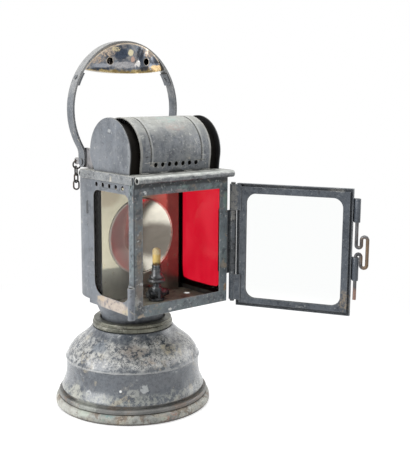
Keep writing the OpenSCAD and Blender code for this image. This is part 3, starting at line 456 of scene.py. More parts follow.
def pane(name, look):
    material, tree, shader, output, place = newMaterial(name)
    drawnDown = shifted(tree, place, 0.0, (1, 1, 0.4))
    uneven = spread(tree, noiseAt(tree, drawnDown, *grains["tint"]), *cuts["tint"])
    tint = blendColour(tree, uneven, rgb(*look["colour"]), rgb(*look.get("second", look["colour"])))
    tree.links.new(tint, shader.inputs["Base Color"])
    shader.inputs["Transmission Weight"].default_value = 1.0
    shader.inputs["IOR"].default_value = look["bend"]
    smear = noiseAt(tree, place, *grains["smear"])
    rough = spread(tree, smear, *cuts["smear"], look["rough"], look["rough"] + smearRough)
    tree.links.new(rough, shader.inputs["Roughness"])
    clear = addNode(tree, "ShaderNodeBsdfTransparent", None, {"Color": rgb(*look["through"])})
    path = tree.nodes.new("ShaderNodeLightPath").outputs
    passing = calc(tree, "MAXIMUM", path["Is Shadow Ray"], path["Is Diffuse Ray"])
    mixed = mixShaders(tree, passing, shader, clear)
    tree.links.new(mixed.outputs[0], output.inputs[0])
    return material


# One layer of wear; its place and reach are in mm, single lengths in metres
def wear(kind, colour, strength=1.0, **more):
    return dict(more, kind=kind, colour=colour, strength=strength)


def spot(at, reach, colour, strength=1.0, **more):
    return wear("spot", colour, strength, at=at, reach=reach, **more)


def block(low, high, colour, strength=1.0, **more):
    return wear("block", colour, strength, low=low, high=high, **more)


def flakes(size, amount, colour, strength=1.0, **more):
    return wear("flakes", colour, strength, size=size, amount=amount, **more)


def crackle(size, colour, strength=1.0, **more):
    return wear("crackle", colour, strength, size=size, **more)


palePaint = (0.46, 0.46, 0.43)
rust = (0.15, 0.085, 0.045)
ochre = (0.30, 0.21, 0.12)
verdigris = (0.20, 0.32, 0.27)
# near black, for painted shade in corners and gaps and for a dark seam line
nearBlack = (0.018, 0.019, 0.02)

# Blue-grey paint of the head, cowl ends, collar and bail
greySheet = {
    "dark": (0.072, 0.083, 0.098), "light": (0.148, 0.166, 0.192), "size": 26.0, "rough": 0.4,
    "layers": [
        wear("Clouds", (0.19, 0.2, 0.215), 0.45),
        wear("Fine", (0.25, 0.26, 0.275), 0.35),
        wear("Runs", (0.21, 0.225, 0.245), 0.45),
        wear("Pits", (0.035, 0.04, 0.048), 0.7, depth=-0.5),
        flakes(60.0, 0.3, (0.05, 0.058, 0.068), 0.55, second=(0.1, 0.11, 0.12), shift=4.0),
        flakes(75.0, 0.22, palePaint, 0.75, second=(0.3, 0.26, 0.2), depth=-0.4),
        wear("Specks", (0.46, 0.46, 0.44), 0.5),
        wear("Scratches", (0.34, 0.35, 0.36), 0.35),
        wear("dustAndTopLight", (0.36, 0.355, 0.32), 0.6, second=(0.2, 0.195, 0.17), rough=0.65),
        wear("cornerShade", nearBlack, 0.85, rough=0.7),
        wear("rub", (0.5, 0.5, 0.48), 0.8, second=(0.22, 0.21, 0.2), rough=0.35),
    ],
}
# Painted shade on the faces that look into the chamber
insideShade = wear("inward", (0.012, 0.011, 0.01), at=(0, -20, 165), second=(0.035, 0.028, 0.022), rough=0.75)
wallSheet = dict(greySheet, layers=greySheet["layers"][:-2] + [
    # sill under the left window, worn down to the primer
    spot((-52, -45, 110), (3, 27, 6.8), (0.4, 0.3, 0.25), 0.9, second=(0.56, 0.5, 0.42), ragged=0.35,
         broken="Wide", depth=-0.4),
    spot((-52, -66, 107), (3, 8, 4), (0.46, 0.4, 0.26), 0.7, broken="Wide"),
    spot((-52, -24, 113), (3, 6, 3), (0.5, 0.4, 0.28), 0.8, broken="Wide"),
] + greySheet["layers"][-2:] + [insideShade])
# The housing's seam gapes a little at the left wall: painted shade in the gap, and a dark line along the seam
housingSheet = dict(greySheet, layers=greySheet["layers"] + [
    block((-60, -2.9, 187.5), (-50.5, -1.6, 199), nearBlack, soft=0.0003),
    block((-60, -5.4, 110), (-50.5, -4.3, 219), nearBlack, 0.6, soft=0.0003, ragged=0.001),
    insideShade,
])

# Bail: lighter over the crown
bailSheet = dict(greySheet, shift=6.3, layers=greySheet["layers"][:-2] + [
    block((-99, -99, 296), (99, 99, 400), (0.46, 0.46, 0.45), 0.7, soft=0.012, ragged=0.05,
          second=(0.26, 0.265, 0.27), broken="Wide"),
    wear("cornerShade", nearBlack, 0.6, rough=0.7),
    wear("rub", (0.62, 0.6, 0.56), 0.95, second=(0.3, 0.28, 0.25), rough=0.3),
])
earSheet = dict(greySheet, dark=(0.16, 0.155, 0.16), light=(0.32, 0.3, 0.3), shift=3.3)

# Darker, greener paint round the doorway
frontSheet = dict(greySheet, dark=(0.055, 0.07, 0.082), light=(0.13, 0.16, 0.18), shift=1.7, layers=[
    wear("Clouds", (0.16, 0.215, 0.215), 0.55),
    wear("Fine", (0.27, 0.285, 0.29), 0.4),
    wear("Runs", (0.22, 0.24, 0.26), 0.3),
    wear("Pits", (0.025, 0.028, 0.033), 0.7, depth=-0.5),
    flakes(70.0, 0.26, ochre, 0.6, second=(0.36, 0.31, 0.24), depth=-0.4),
    flakes(85.0, 0.15, palePaint, 0.7, shift=3.0),
    spot((-46, -77.7, 174), (3, 2, 7), ochre, 0.6, broken="Wide"),
    spot((-47, -77.7, 154), (2.5, 2, 9), (0.3, 0.22, 0.14), 0.75, broken="Wide"),
    spot((-46.5, -77.7, 130), (3.5, 2, 10), (0.22, 0.18, 0.15), 0.75, broken="Wide"),
    spot((-50, -77.7, 120), (3, 2, 5), palePaint, 0.6),
    spot((-45.6, -77.7, 106), (4, 2, 3), (0.42, 0.34, 0.25), 0.8),
    spot((-21.6, -77.7, 218), (3, 2, 1.5), (0.75, 0.76, 0.74), broken="Fine"),
    spot((-41, -77.7, 213.2), (2.2, 2, 2), (0.72, 0.74, 0.74), broken="Fine"),
    spot((8, -77.7, 216), (15, 2, 4), verdigris, 0.6, second=(0.3, 0.42, 0.38), broken="Clouds"),
    spot((50.2, -77.7, 119), (2, 2, 3.5), (0.3, 0.19, 0.1), 0.8),
    # painted shadow under the roof's front bead
    block((-52, -79, 217.2), (52, -76, 224), (0.02, 0.021, 0.022), 0.85, soft=0.001, ragged=0.003),
    spot((-8, -77.7, 212.6), (17, 2, 1.4), (0.45, 0.3, 0.3), 0.5, broken="Fine"),
    spot((34, -77.7, 214), (13, 2, 3), (0.24, 0.33, 0.33), 0.55, broken="Fine"),
    spot((49.5, -77.7, 200), (3, 2, 9), verdigris, 0.45),
    spot((-14, -77.7, 108), (2, 2, 1.2), (0.6, 0.6, 0.58), ragged=0.5),
    block((-50.5, -79, 112), (-43, -77, 200), (0.1, 0.085, 0.08), 0.65, soft=0.002, ragged=0.012,
          second=(0.2, 0.17, 0.145), broken="Wide"),
    flakes(140.0, 0.4, (0.03, 0.036, 0.046), 0.7, second=(0.06, 0.07, 0.08), shift=9.0),
    flakes(150.0, 0.28, (0.34, 0.29, 0.24), 0.7, second=(0.2, 0.16, 0.14), shift=12.0),
    wear("Specks", (0.5, 0.5, 0.49), 0.7),
    wear("cornerShade", nearBlack, 0.8, rough=0.7),
    wear("rub", (0.42, 0.45, 0.46), 0.85, second=(0.2, 0.2, 0.19), rough=0.35),
    # a dark line along the fold of the front post
    block((-53.4, -79, 106), (-51.5, -76.6, 217), (0.02, 0.023, 0.028), 0.8, soft=0.0002, ragged=0.0015),
])

# Charcoal door
doorSheet = dict(greySheet, dark=(0.022, 0.029, 0.04), light=(0.055, 0.066, 0.083), shift=2.9, rough=0.32,
                 size=30.0, layers=[
    wear("Clouds", (0.085, 0.1, 0.12), 0.45),
    wear("Fine", (0.14, 0.155, 0.17), 0.35),
    wear("Runs", (0.1, 0.112, 0.125), 0.35),
    wear("Pits", (0.01, 0.01, 0.011), 0.6, depth=-0.5),
    flakes(90.0, 0.16, (0.16, 0.15, 0.125), 0.6, second=(0.3, 0.3, 0.28)),
    wear("Specks", (0.32, 0.33, 0.33), 0.45),
    spot((108.5, -173.5, 114), (5, 7, 9), (0.17, 0.115, 0.07), 0.8, second=(0.3, 0.25, 0.18), broken="Fine"),
    spot((88, -137.5, 106), (3, 4, 1.2), (0.42, 0.42, 0.4), 0.6, broken="Fine"),
    spot((82, -123, 213.5), (8, 12, 1.6), (0.26, 0.27, 0.27), 0.5, broken="Fine"),
    spot((104, -163, 213.5), (6, 9, 1.8), (0.4, 0.4, 0.38), 0.7, broken="Wide"),
    spot((55, -83, 200), (4, 4, 20), (0.22, 0.21, 0.19), 0.6, broken="Wide"),
    wear("cornerShade", (0.008, 0.009, 0.011), 0.45, rough=0.7),
    wear("rub", (0.36, 0.37, 0.37), 0.85, second=(0.16, 0.16, 0.155), rough=0.3),
])
hingeSheet = dict(doorSheet, dark=(0.012, 0.014, 0.017), light=(0.035, 0.038, 0.042), shift=5.1)

# Bleached roof and cowl
roofSheet = dict(greySheet, dark=(0.068, 0.075, 0.085), light=(0.17, 0.183, 0.197), shift=0.8,
                 rough=0.32, layers=[
    wear("Clouds", (0.24, 0.25, 0.245), 0.5),
    wear("Fine", (0.36, 0.37, 0.375), 0.4),
    wear("Runs", (0.28, 0.29, 0.29), 0.35),
    wear("Pits", (0.035, 0.038, 0.042), 0.75, depth=-0.5),
    flakes(60.0, 0.28, (0.06, 0.066, 0.075), 0.6, shift=4.0),
    # dust, and painted light on the roof's and cowl's upper faces
    wear("dustAndTopLight", (0.56, 0.57, 0.53), 0.8, second=(0.3, 0.3, 0.27), rough=0.5),
    crackle(120.0, (0.6, 0.6, 0.56), 0.5),
    flakes(80.0, 0.24, (0.6, 0.58, 0.5), 0.75, second=(0.38, 0.32, 0.24), depth=-0.4),
    spot((6, -47, 272), (16, 9, 4), (0.42, 0.6, 0.55), 0.5, broken="Fine"),
    spot((4, -60, 266), (10, 5, 3), (0.5, 0.36, 0.32), 0.6, broken="Fine"),
    wear("Specks", (0.68, 0.68, 0.64), 0.6),
    # painted highlight along the top of the front bead
    block((-54, -90, 225.6), (54, -81, 230), (0.74, 0.76, 0.72), 0.8, soft=0.0006, ragged=0.006,
          second=(0.42, 0.44, 0.42)),
    # painted shade under the front bead
    block((-54, -90, 218), (54, -78, 222.8), (0.02, 0.022, 0.026), 0.9, soft=0.0008, ragged=0.004),
    wear("cornerShade", nearBlack, 0.9, rough=0.7),
    wear("rub", (0.7, 0.69, 0.62), 0.9, second=(0.3, 0.29, 0.26), rough=0.35),
])
# Roof: painted shade behind the front bead, and in the short black slots in front of the cowl that its tabs
# come through
roofTabs = {"middles": (-24.5, -6, 19.9, 38.4), "long": 5.5}
roofPlate = dict(roofSheet, layers=roofSheet["layers"] + [
    block((-54, -81.6, 226.5), (54, -79.4, 230), (0.02, 0.022, 0.024), 0.75, soft=0.0004, ragged=0.003)] + [
    block((x - roofTabs["long"] / 2, -75.8, 226), (x + roofTabs["long"] / 2, -71.2, 230),
          (0.012, 0.012, 0.013), 0.9, soft=0.0003) for x in roofTabs["middles"]])
# Cowl: painted shade in the two pressed grooves and a painted highlight beside each; the borders are bright
cowlMarks = {"groove": 27.9, "border": 37.9}


def cowlLines(side):
    groove, border = side * cowlMarks["groove"], side * cowlMarks["border"]
    return [
        block((groove - 0.8, -99, 236), (groove + 0.8, 99, 290), (0.03, 0.033, 0.036), 0.9,
              soft=0.0005, ragged=0.0008),
        block((groove + 1.0, -99, 236), (groove + 2.4, 99, 290), (0.46, 0.47, 0.46), 0.6,
              soft=0.0005, ragged=0.001),
        block((border - 1.3, -99, 228), (border + 1.3, 99, 290), (0.48, 0.48, 0.45), 0.65,
              soft=0.0006, ragged=0.002, second=(0.3, 0.29, 0.26)),
    ]


cowlShell = dict(roofSheet, dark=(0.062, 0.073, 0.09), light=(0.15, 0.168, 0.196),
                 layers=roofSheet["layers"][:-2] + cowlLines(-1) + cowlLines(1) + roofSheet["layers"][-2:])

# Bell and foot: bands of different wear, read from the photograph
bellSheet = dict(greySheet, dark=(0.02, 0.028, 0.041), light=(0.062, 0.078, 0.1), shift=1.1, size=30.0,
                 rough=0.3, specular=0.6, coat=0.5, layers=[
    wear("Clouds", (0.14, 0.16, 0.18), 0.4),
    wear("Fine", (0.24, 0.25, 0.26), 0.22),
    block((-99, -99, 48.5), (99, 99, 70), (0.24, 0.27, 0.31), 0.92, soft=0.005, ragged=0.03,
          second=(0.64, 0.65, 0.64), broken="Fine"),
    block((-99, -99, 50), (99, 99, 68), (0.28, 0.25, 0.2), 0.4, soft=0.005, ragged=0.03,
          second=(0.46, 0.43, 0.36), broken="Fine"),
    crackle(210.0, (0.78, 0.78, 0.75), 0.85, thin=0.08, depth=0.3, within=(49, 69)),
    crackle(320.0, (0.02, 0.025, 0.03), 0.9, thin=0.1, within=(49, 71)),
    crackle(280.0, (0.5, 0.5, 0.47), 0.5, thin=0.05, within=(10, 32)),
    block((-99, -99, 12), (99, 99, 24), (0.2, 0.215, 0.21), 0.75, soft=0.003, ragged=0.025,
          second=(0.42, 0.43, 0.38), broken="Fine"),
    wear("Pits", (0.035, 0.038, 0.04), 0.7, depth=-0.5),
    flakes(70.0, 0.34, (0.26, 0.22, 0.15), 0.55, second=(0.44, 0.39, 0.29), broken="Wide"),
    flakes(130.0, 0.3, (0.085, 0.1, 0.122), 0.6, shift=4.0),
    spot((-34, -56, 37), (42, 30, 10), (0.05, 0.06, 0.074), 0.6, second=(0.12, 0.13, 0.145), ragged=0.5),
    flakes(100.0, 0.24, (0.54, 0.56, 0.56), 0.65, shift=7.0, depth=-0.4),
    spot((-28, -41, 62), (13, 12, 6), (0.5, 0.38, 0.3), 0.6, second=(0.3, 0.27, 0.24), broken="Fine"),
    spot((7, -54, 60), (13, 9, 7), (0.13, 0.115, 0.08), 0.75, second=(0.5, 0.44, 0.3), broken="Fine"),
    spot((-20, -55, 55), (9, 7, 3), (0.36, 0.26, 0.18), 0.6, broken="Fine"),
    spot((-3, -61, 52), (11, 6, 2.6), (0.42, 0.42, 0.46), 0.5, broken="Fine"),
    spot((-32, -29, 70), (10, 9, 5), (0.06, 0.075, 0.095), 0.7, broken="Wide"),
    spot((-48, -15, 64), (8, 8, 6), (0.17, 0.2, 0.24), 0.7, broken="Wide"),
    spot((-52.3, -22.9, 58), (3.5, 3.5, 3), (0.6, 0.58, 0.5), 0.8, broken="Fine"),
    block((-99, -99, 45.1), (99, 99, 46.7), (0.5, 0.5, 0.48), 0.8, soft=0.0004, ragged=0.003,
          second=(0.25, 0.26, 0.27), broken="Wide"),
    spot((-37, -53, 27.5), (7, 6, 3.6), (0.4, 0.41, 0.38), 0.6, broken="Wide"),
    spot((-45.7, -45.4, 29.4), (1.3, 1.3, 1.3), (0.8, 0.8, 0.78), ragged=0.2),
    spot((-67, -3, 22), (6, 9, 9), (0.46, 0.46, 0.4), 0.7, broken="Wide"),
    wear("cornerShade", nearBlack, 0.75, rough=0.7),
    wear("rub", (0.56, 0.55, 0.5), 0.75, second=(0.34, 0.3, 0.24), rough=0.35),
])
footSheet = dict(greySheet, dark=(0.16, 0.17, 0.16), light=(0.42, 0.43, 0.39), shift=2.3, size=42.0, layers=[
    wear("Clouds", (0.42, 0.38, 0.29), 0.6),
    wear("Fine", (0.56, 0.56, 0.52), 0.45),
    flakes(50.0, 0.36, rust, 0.65, second=(0.26, 0.19, 0.12)),
    crackle(120.0, (0.66, 0.65, 0.58), 0.6),
    crackle(150.0, (0.04, 0.035, 0.03), 0.6, thin=0.03),
    wear("Pits", (0.03, 0.03, 0.03), 0.8, depth=-0.5),
    flakes(60.0, 0.24, (0.25, 0.36, 0.3), 0.5, shift=4.0),
    flakes(100.0, 0.3, (0.6, 0.58, 0.5), 0.7, shift=7.0),
    flakes(160.0, 0.46, (0.09, 0.08, 0.07), 0.85, second=(0.24, 0.18, 0.14), shift=10.0),
    spot((-11, -74, 5.5), (9, 5, 3.5), (0.42, 0.24, 0.19), 0.6, broken="Fine"),
    spot((-17, -73, 5), (3, 3, 2), (0.45, 0.55, 0.48), 0.7, broken="Fine"),
    spot((-57.4, -43, 9), (7, 6, 3), (0.12, 0.24, 0.24), 0.7, broken="Fine"),
    spot((-70, -19, 9), (5, 9, 5), (0.48, 0.53, 0.46), 0.7),
    spot((-74, 6, 5), (9, 20, 7), (0.56, 0.57, 0.53), 0.7, second=(0.4, 0.4, 0.36)),
    wear("cornerShade", (0.03, 0.024, 0.02), 0.85, rough=0.75),
    wear("rub", (0.6, 0.58, 0.52), 0.8, second=(0.34, 0.27, 0.19), rough=0.35),
])
panSheet = dict(footSheet, dark=(0.085, 0.09, 0.092), light=(0.2, 0.2, 0.19), layers=[
    flakes(36.0, 0.45, (0.25, 0.165, 0.115), 0.6, second=(0.17, 0.135, 0.105)),
    spot((-66, -20, 13), (9, 16, 8), (0.46, 0.48, 0.43), 0.85, second=(0.25, 0.27, 0.25)),
    crackle(140.0, (0.45, 0.44, 0.4), 0.5),
    wear("Fine", (0.26, 0.25, 0.23), 0.25),
    wear("Pits", (0.02, 0.02, 0.02), 0.8, depth=-0.5),
    flakes(90.0, 0.25, (0.4, 0.4, 0.36), 0.6, shift=7.0),
    wear("cornerShade", (0.03, 0.026, 0.022), 0.5, reach=0.002, rough=0.75),
    wear("rub", (0.5, 0.49, 0.45), 0.7, rough=0.35),
])
floorSheet = dict(greySheet, dark=(0.085, 0.075, 0.06), light=(0.24, 0.215, 0.17), shift=4.4, size=50.0,
                  rough=0.5, layers=[
    wear("Clouds", (0.34, 0.32, 0.26), 0.6),
    wear("Fine", (0.42, 0.4, 0.34), 0.4),
    flakes(60.0, 0.35, (0.045, 0.035, 0.03), 0.7),
    wear("Pits", (0.02, 0.018, 0.016), 0.7, depth=-0.5),
    wear("cornerShade", (0.015, 0.013, 0.012), 0.8, rough=0.75),
])


# Bare and blackened metals
soot = {"dark": (0.004, 0.004, 0.004), "light": (0.014, 0.012, 0.01), "rough": 0.8, "specular": 0.1, "layers": [
    wear("Fine", (0.03, 0.026, 0.022), 0.3),
    wear("rub", (0.06, 0.055, 0.05), 0.4),
]}
unionBrass = {"dark": (0.05, 0.053, 0.042), "light": (0.17, 0.17, 0.135), "rough": 0.36, "metallic": 0.55,
              "size": 60.0, "layers": [
    wear("Fine", (0.27, 0.265, 0.22), 0.4),
    flakes(90.0, 0.35, (0.36, 0.35, 0.3), 0.6),
    wear("Pits", (0.02, 0.022, 0.02), 0.7, depth=-0.5),
    wear("cornerShade", nearBlack, 0.95, reach=0.003, rough=0.7),
    wear("rub", (0.5, 0.47, 0.36), 0.8, rough=0.25),
]}
gripBrass = {"dark": (0.05, 0.062, 0.085), "light": (0.2, 0.225, 0.26), "rough": 0.18, "roughSpread": 0.05,
             "metallic": 0.85, "size": 60.0, "wave": 1.0, "waveSize": 60.0, "grain": 0.1, "layers": [
    wear("Clouds", (0.42, 0.38, 0.34), 0.6, rough=0.14),
    # painted highlight in a bright band low down, and painted reflection in dark patches above and beside it
    spot((-6, 2, 320.5), (17, 14, 3), (0.58, 0.57, 0.57), 0.8, second=(0.3, 0.3, 0.32), ragged=0.6),
    spot((-29, 2, 319.5), (9, 14, 2.2), (0.4, 0.42, 0.46), 0.7, ragged=0.6),
    spot((10, 2, 322), (2.6, 14, 3.2), (0.9, 0.88, 0.84), 0.85, ragged=0.5),
    spot((-9, 2, 330), (9, 14, 5.5), (0.02, 0.03, 0.05), 0.9, second=(0.07, 0.09, 0.13), ragged=0.45),
    spot((13, 2, 331), (5, 14, 6), (0.018, 0.024, 0.035), 0.9, second=(0.05, 0.06, 0.08), ragged=0.45),
    spot((-30, 2, 316.5), (10, 14, 1.6), (0.03, 0.04, 0.06), 0.85, ragged=0.4),
    spot((19, 2, 316.5), (8, 14, 3), (0.03, 0.03, 0.035), 0.85, ragged=0.5),
    spot((33, 2, 325), (7, 14, 3.5), (0.04, 0.045, 0.06), 0.85, ragged=0.5),
    # brass where the plating has gone
    spot((-33, 2, 324.5), (7, 14, 3.4), (0.4, 0.29, 0.19), 0.85, second=(0.62, 0.48, 0.36), ragged=0.7,
         broken="Fine"),
    spot((-23, 2, 331), (8, 14, 3.2), (0.5, 0.37, 0.26), 0.9, second=(0.75, 0.6, 0.45), ragged=0.7,
         broken="Fine"),
    spot((-14, 2, 334.5), (5, 14, 2.2), (0.78, 0.66, 0.4), 0.85, ragged=0.7, broken="Fine"),
    spot((2, 2, 331.5), (3.2, 14, 3), (0.85, 0.76, 0.5), 0.85, ragged=0.7),
    spot((4, 2, 325.5), (2.4, 14, 3), (0.6, 0.4, 0.32), 0.85, ragged=0.5),
    spot((24, 2, 331), (8, 14, 4.2), (0.45, 0.32, 0.2), 0.9, second=(0.7, 0.54, 0.42), ragged=0.7,
         broken="Fine"),
    spot((34, 2, 318), (10, 14, 3.2), (0.36, 0.24, 0.11), 0.88, second=(0.5, 0.36, 0.18), ragged=0.5),
    block((-60, -15, 300), (60, 40, 316), (0.24, 0.17, 0.06), 0.92, soft=0.0008, ragged=0.01,
          second=(0.5, 0.39, 0.17), between="Clouds", rough=0.22),
    # the rim of the half-moon, farther from the middle of its arc than 50.9 mm
    wear("beyond", (0.72, 0.62, 0.5), 0.9, at=(0, 11, 288.2), reach=(50.9, 4000, 50.9),
         second=(0.4, 0.33, 0.26), between="Clouds"),
    wear("Pits", (0.03, 0.025, 0.02), 0.5, rough=0.5),
    wear("rub", (0.85, 0.74, 0.56), 1.0, second=(0.6, 0.46, 0.3), reach=0.0012),
]}
nickel = {"dark": (0.62, 0.58, 0.43), "light": (0.88, 0.83, 0.64), "rough": 0.24, "roughSpread": 0.03,
          "metallic": 0.7, "size": 14.0, "wave": 0.12, "waveSize": 14.0, "bump": 0.03, "layers": [
    wear("Clouds", (0.7, 0.62, 0.44), 0.4),
    flakes(30.0, 0.22, (0.4, 0.36, 0.28), 0.5),
    # tarnish that follows a tide line low on the plate, and a browner top
    block((-60, -60, 100), (60, 60, 137), (0.27, 0.275, 0.24), 0.85, soft=0.0012, ragged=0.003,
          second=(0.36, 0.36, 0.31), rough=0.3),
    spot((-38, -16, 205), (16, 9, 12), (0.42, 0.35, 0.25), 0.7, ragged=0.2),
    block((30, -60, 100), (60, 60, 230), (0.2, 0.17, 0.15), 0.85, soft=0.002, second=(0.28, 0.24, 0.2),
          rough=0.34),
    spot((-46, -16, 168), (1.2, 3, 1.2), (0.1, 0.07, 0.05), ragged=0.2),
    flakes(90.0, 0.05, (0.18, 0.13, 0.09), 0.6, rough=0.45),
    wear("rub", (0.95, 0.86, 0.7), 0.7, rough=0.12),
]}
# The dish is dull on its left and polished on its right, where it shows the light of the doorway
dishMirror = dict(nickel, dark=(0.4, 0.35, 0.32), light=(0.5, 0.45, 0.41), metallic=0.35, rough=0.36,
                  flatter=(0.62, (0, -1, 0)), layers=[
    block((-4, -60, 100), (60, 60, 230), (0.68, 0.64, 0.54), soft=0.006, second=(0.86, 0.82, 0.7),
          between="Broad", metal=0.93, rough=0.13),
    # painted reflection: a dark lower right, a bright patch low on the left and a darker top
    spot((23, -12, 156), (28, 40, 18), (0.13, 0.112, 0.092), 0.93, second=(0.24, 0.21, 0.18), between="Broad",
         ragged=0.08, rough=0.2),
    spot((-16, -12, 139), (20, 40, 13), (0.74, 0.7, 0.64), 0.75, ragged=0.1, rough=0.5),
    spot((4, -12, 208), (30, 40, 6), (0.4, 0.36, 0.3), 0.6, ragged=0.1),
    flakes(90.0, 0.04, (0.18, 0.13, 0.09), 0.5, rough=0.45),
    wear("rub", (0.95, 0.86, 0.7), 0.9, rough=0.12),
])
steel = {"dark": (0.1, 0.09, 0.08), "light": (0.24, 0.22, 0.2), "rough": 0.36, "metallic": 0.75,
         "size": 60.0, "layers": [
    flakes(90.0, 0.4, (0.13, 0.075, 0.045), 0.75, rough=0.6),
    wear("Pits", (0.03, 0.025, 0.02), 0.7, depth=-0.4),
    wear("rub", (0.4, 0.38, 0.35), 0.6),
]}
latchWire = dict(steel, dark=(0.03, 0.032, 0.036), light=(0.13, 0.13, 0.135), layers=steel["layers"] + [
    block((100, -200, 100), (130, -150, 127), (0.3, 0.18, 0.14), 0.75, soft=0.003, ragged=0.02),
    block((115, -200, 140), (130, -150, 172), (0.22, 0.14, 0.075), 0.8, soft=0.0015, ragged=0.01,
          second=(0.14, 0.1, 0.07)),
])
chainSteel = dict(steel, dark=(0.014, 0.014, 0.014), light=(0.06, 0.057, 0.052), rough=0.3)
burnerMetal = {"dark": (0.02, 0.022, 0.025), "light": (0.09, 0.1, 0.11), "rough": 0.32, "metallic": 0.6,
               "size": 80.0, "layers": [
    flakes(110.0, 0.35, (0.24, 0.25, 0.27), 0.6),
    wear("Specks", (0.35, 0.35, 0.33), 0.4),
    wear("cornerShade", (0.01, 0.01, 0.01), 0.8, reach=0.003),
    wear("rub", (0.4, 0.4, 0.4), 0.8, rough=0.2),
]}
nippleMetal = dict(burnerMetal, dark=(0.06, 0.062, 0.066), light=(0.22, 0.22, 0.23))
ceramic = {"dark": (0.55, 0.36, 0.09), "light": (0.85, 0.62, 0.22), "rough": 0.16, "size": 90.0, "layers": [
    block((-9, -50, 130), (9, -30, 142), (0.07, 0.03, 0.02), 0.9, soft=0.001, ragged=0.006),
    flakes(120.0, 0.28, (0.16, 0.09, 0.04), 0.8),
    block((-9, -50, 150), (9, -30, 170), (0.92, 0.86, 0.68), 0.6, soft=0.001, ragged=0.006,
          second=(0.5, 0.33, 0.14)),
    wear("rub", (0.9, 0.8, 0.58), 0.5),
]}
copperPipe = {"dark": (0.05, 0.04, 0.035), "light": (0.14, 0.11, 0.09), "rough": 0.4, "metallic": 0.7,
              "size": 70.0, "layers": [
    flakes(90.0, 0.3, (0.22, 0.15, 0.1), 0.6),
    wear("rub", (0.34, 0.27, 0.2), 0.6),
]}
rubber = {"dark": (0.018, 0.018, 0.018), "light": (0.035, 0.034, 0.032), "rough": 0.75, "layers": [
    wear("Fine", (0.06, 0.06, 0.055), 0.4),
]}

# The red pane is paler in vertical smears
clearGlass = {"colour": (0.97, 0.98, 0.975), "through": (0.97, 0.97, 0.95), "rough": 0.0, "bend": 1.15}
redGlass = {"colour": (0.64, 0.003, 0.02), "second": (0.74, 0.018, 0.04), "through": (0.3, 0.04, 0.045),
            "rough": 0.12, "bend": 1.3}

# One finish for each material slot
finishes = {
    "painted_sheet": agedFinish("greySheet", greySheet),
    "dark_sheet": agedFinish("doorSheet", doorSheet),
    "roof_sheet": agedFinish("roofSheet", roofSheet),
    "base_sheet": agedFinish("bellSheet", bellSheet),
    "inner_floor": agedFinish("floorSheet", floorSheet),
    "soot": agedFinish("soot", soot),
    "union_brass": agedFinish("unionBrass", unionBrass),
    "grip_brass": agedFinish("gripBrass", gripBrass),
    "nickel": agedFinish("nickel", nickel),
    "steel": agedFinish("steel", steel),
    "burner_metal": agedFinish("burnerMetal", burnerMetal),
    "ceramic": agedFinish("ceramic", ceramic),
    "copper_pipe": agedFinish("copperPipe", copperPipe),
    "rubber": agedFinish("rubber", rubber),
    "clear_glass": pane("clearGlass", clearGlass),
    "red_glass": pane("redGlass", redGlass),
}
# Cowl ends: a blob of solder with painted shade under it, a pale front edge, and painted shade inside the
# outlets
cowlSheet = dict(greySheet, layers=greySheet["layers"] + [
    spot((-50, -38.5, 263.7), (2, 2.4, 1.8), (0.4, 0.41, 0.41), 0.7, ragged=0.4, depth=1.5),
    spot((-50, -37.4, 261.9), (2, 1.6, 0.9), (0.05, 0.055, 0.06), 0.6, ragged=0.4),
    block((-52, -70.5, 230), (-49, -66, 262), (0.3, 0.31, 0.32), 0.5, soft=0.002, ragged=0.01, broken="Wide"),
    block((-49.3, -200, 200), (49.3, 99, 400), (0.008, 0.008, 0.008), soft=0.0001, rough=0.85),
])
# Nodes whose finish differs from their slot's
special = {
    "left_wall": agedFinish("wallSheet", wallSheet),
    "rear_housing": agedFinish("housingSheet", housingSheet),
    "cowl_shell": agedFinish("cowlShell", cowlShell),
    "roof_plate": agedFinish("roofPlate", roofPlate),
    "bail_strap": agedFinish("bailSheet", bailSheet),
    "bail_ears": agedFinish("earSheet", earSheet),
    "hinge_leaf": agedFinish("hingeSheet", hingeSheet),
    "reflector_dish": agedFinish("dishMirror", dishMirror),
    "left_channels": finishes["soot"],
    "right_channels": finishes["soot"],
    "front_frame": agedFinish("frontSheet", frontSheet),
    "foot_ring": agedFinish("footSheet", footSheet),
    "bottom_pan": agedFinish("panSheet", panSheet),
    "cowl_end_left": agedFinish("cowlEnd", cowlSheet),
    "burner_nipple": agedFinish("nippleMetal", nippleMetal),
    "latch_rod": agedFinish("latchWire", latchWire),
    "chain_links": agedFinish("chainSteel", chainSteel),
}
special["frame_rivets"] = special["front_frame"]
special["right_wall"] = special["left_wall"]
special["chain_ring"] = special["chain_links"]
special["cowl_end_right"] = special["cowl_end_left"]


def dressNodes():
    slotOf = {part["node"]: part["material_slot"] for part in frame["record"]["subparts"]}
    for name, piece in nodes.items():
        piece.data.materials.clear()
        piece.data.materials.append(special.get(name, finishes[slotOf[name]]))


# Sheet metal has a small radius at every fold and rim: it is what catches the light
softEdges = {"width": 0.00028, "segments": 2, "angle": 32, "weld": 0.000002, "names": [
    "left_wall", "front_frame", "roof_plate", "cowl_shell", "collar", "door_frame", "door_retainer",
    "hinge_leaf", "bail_strap", "bail_ears", "grip_tangs", "generator_shell", "neck_ring", "latch_guides",
    "latch_keeper", "burner_body", "burner_nipple", "burner_sleeve", "burner_tip", "tap_key",
]}


def softenEdges():
    for name in softEdges["names"]:
        piece = nodes[name]
        weld = piece.modifiers.new("weld", "WELD")
        weld.merge_threshold = softEdges["weld"]
        bevel = piece.modifiers.new("softEdges", "BEVEL")
        bevel.width = softEdges["width"]
        bevel.segments = softEdges["segments"]
        bevel.limit_method = "ANGLE"
        bevel.angle_limit = math.radians(softEdges["angle"])
        bevel.use_clamp_overlap = True
        bevel.harden_normals = False


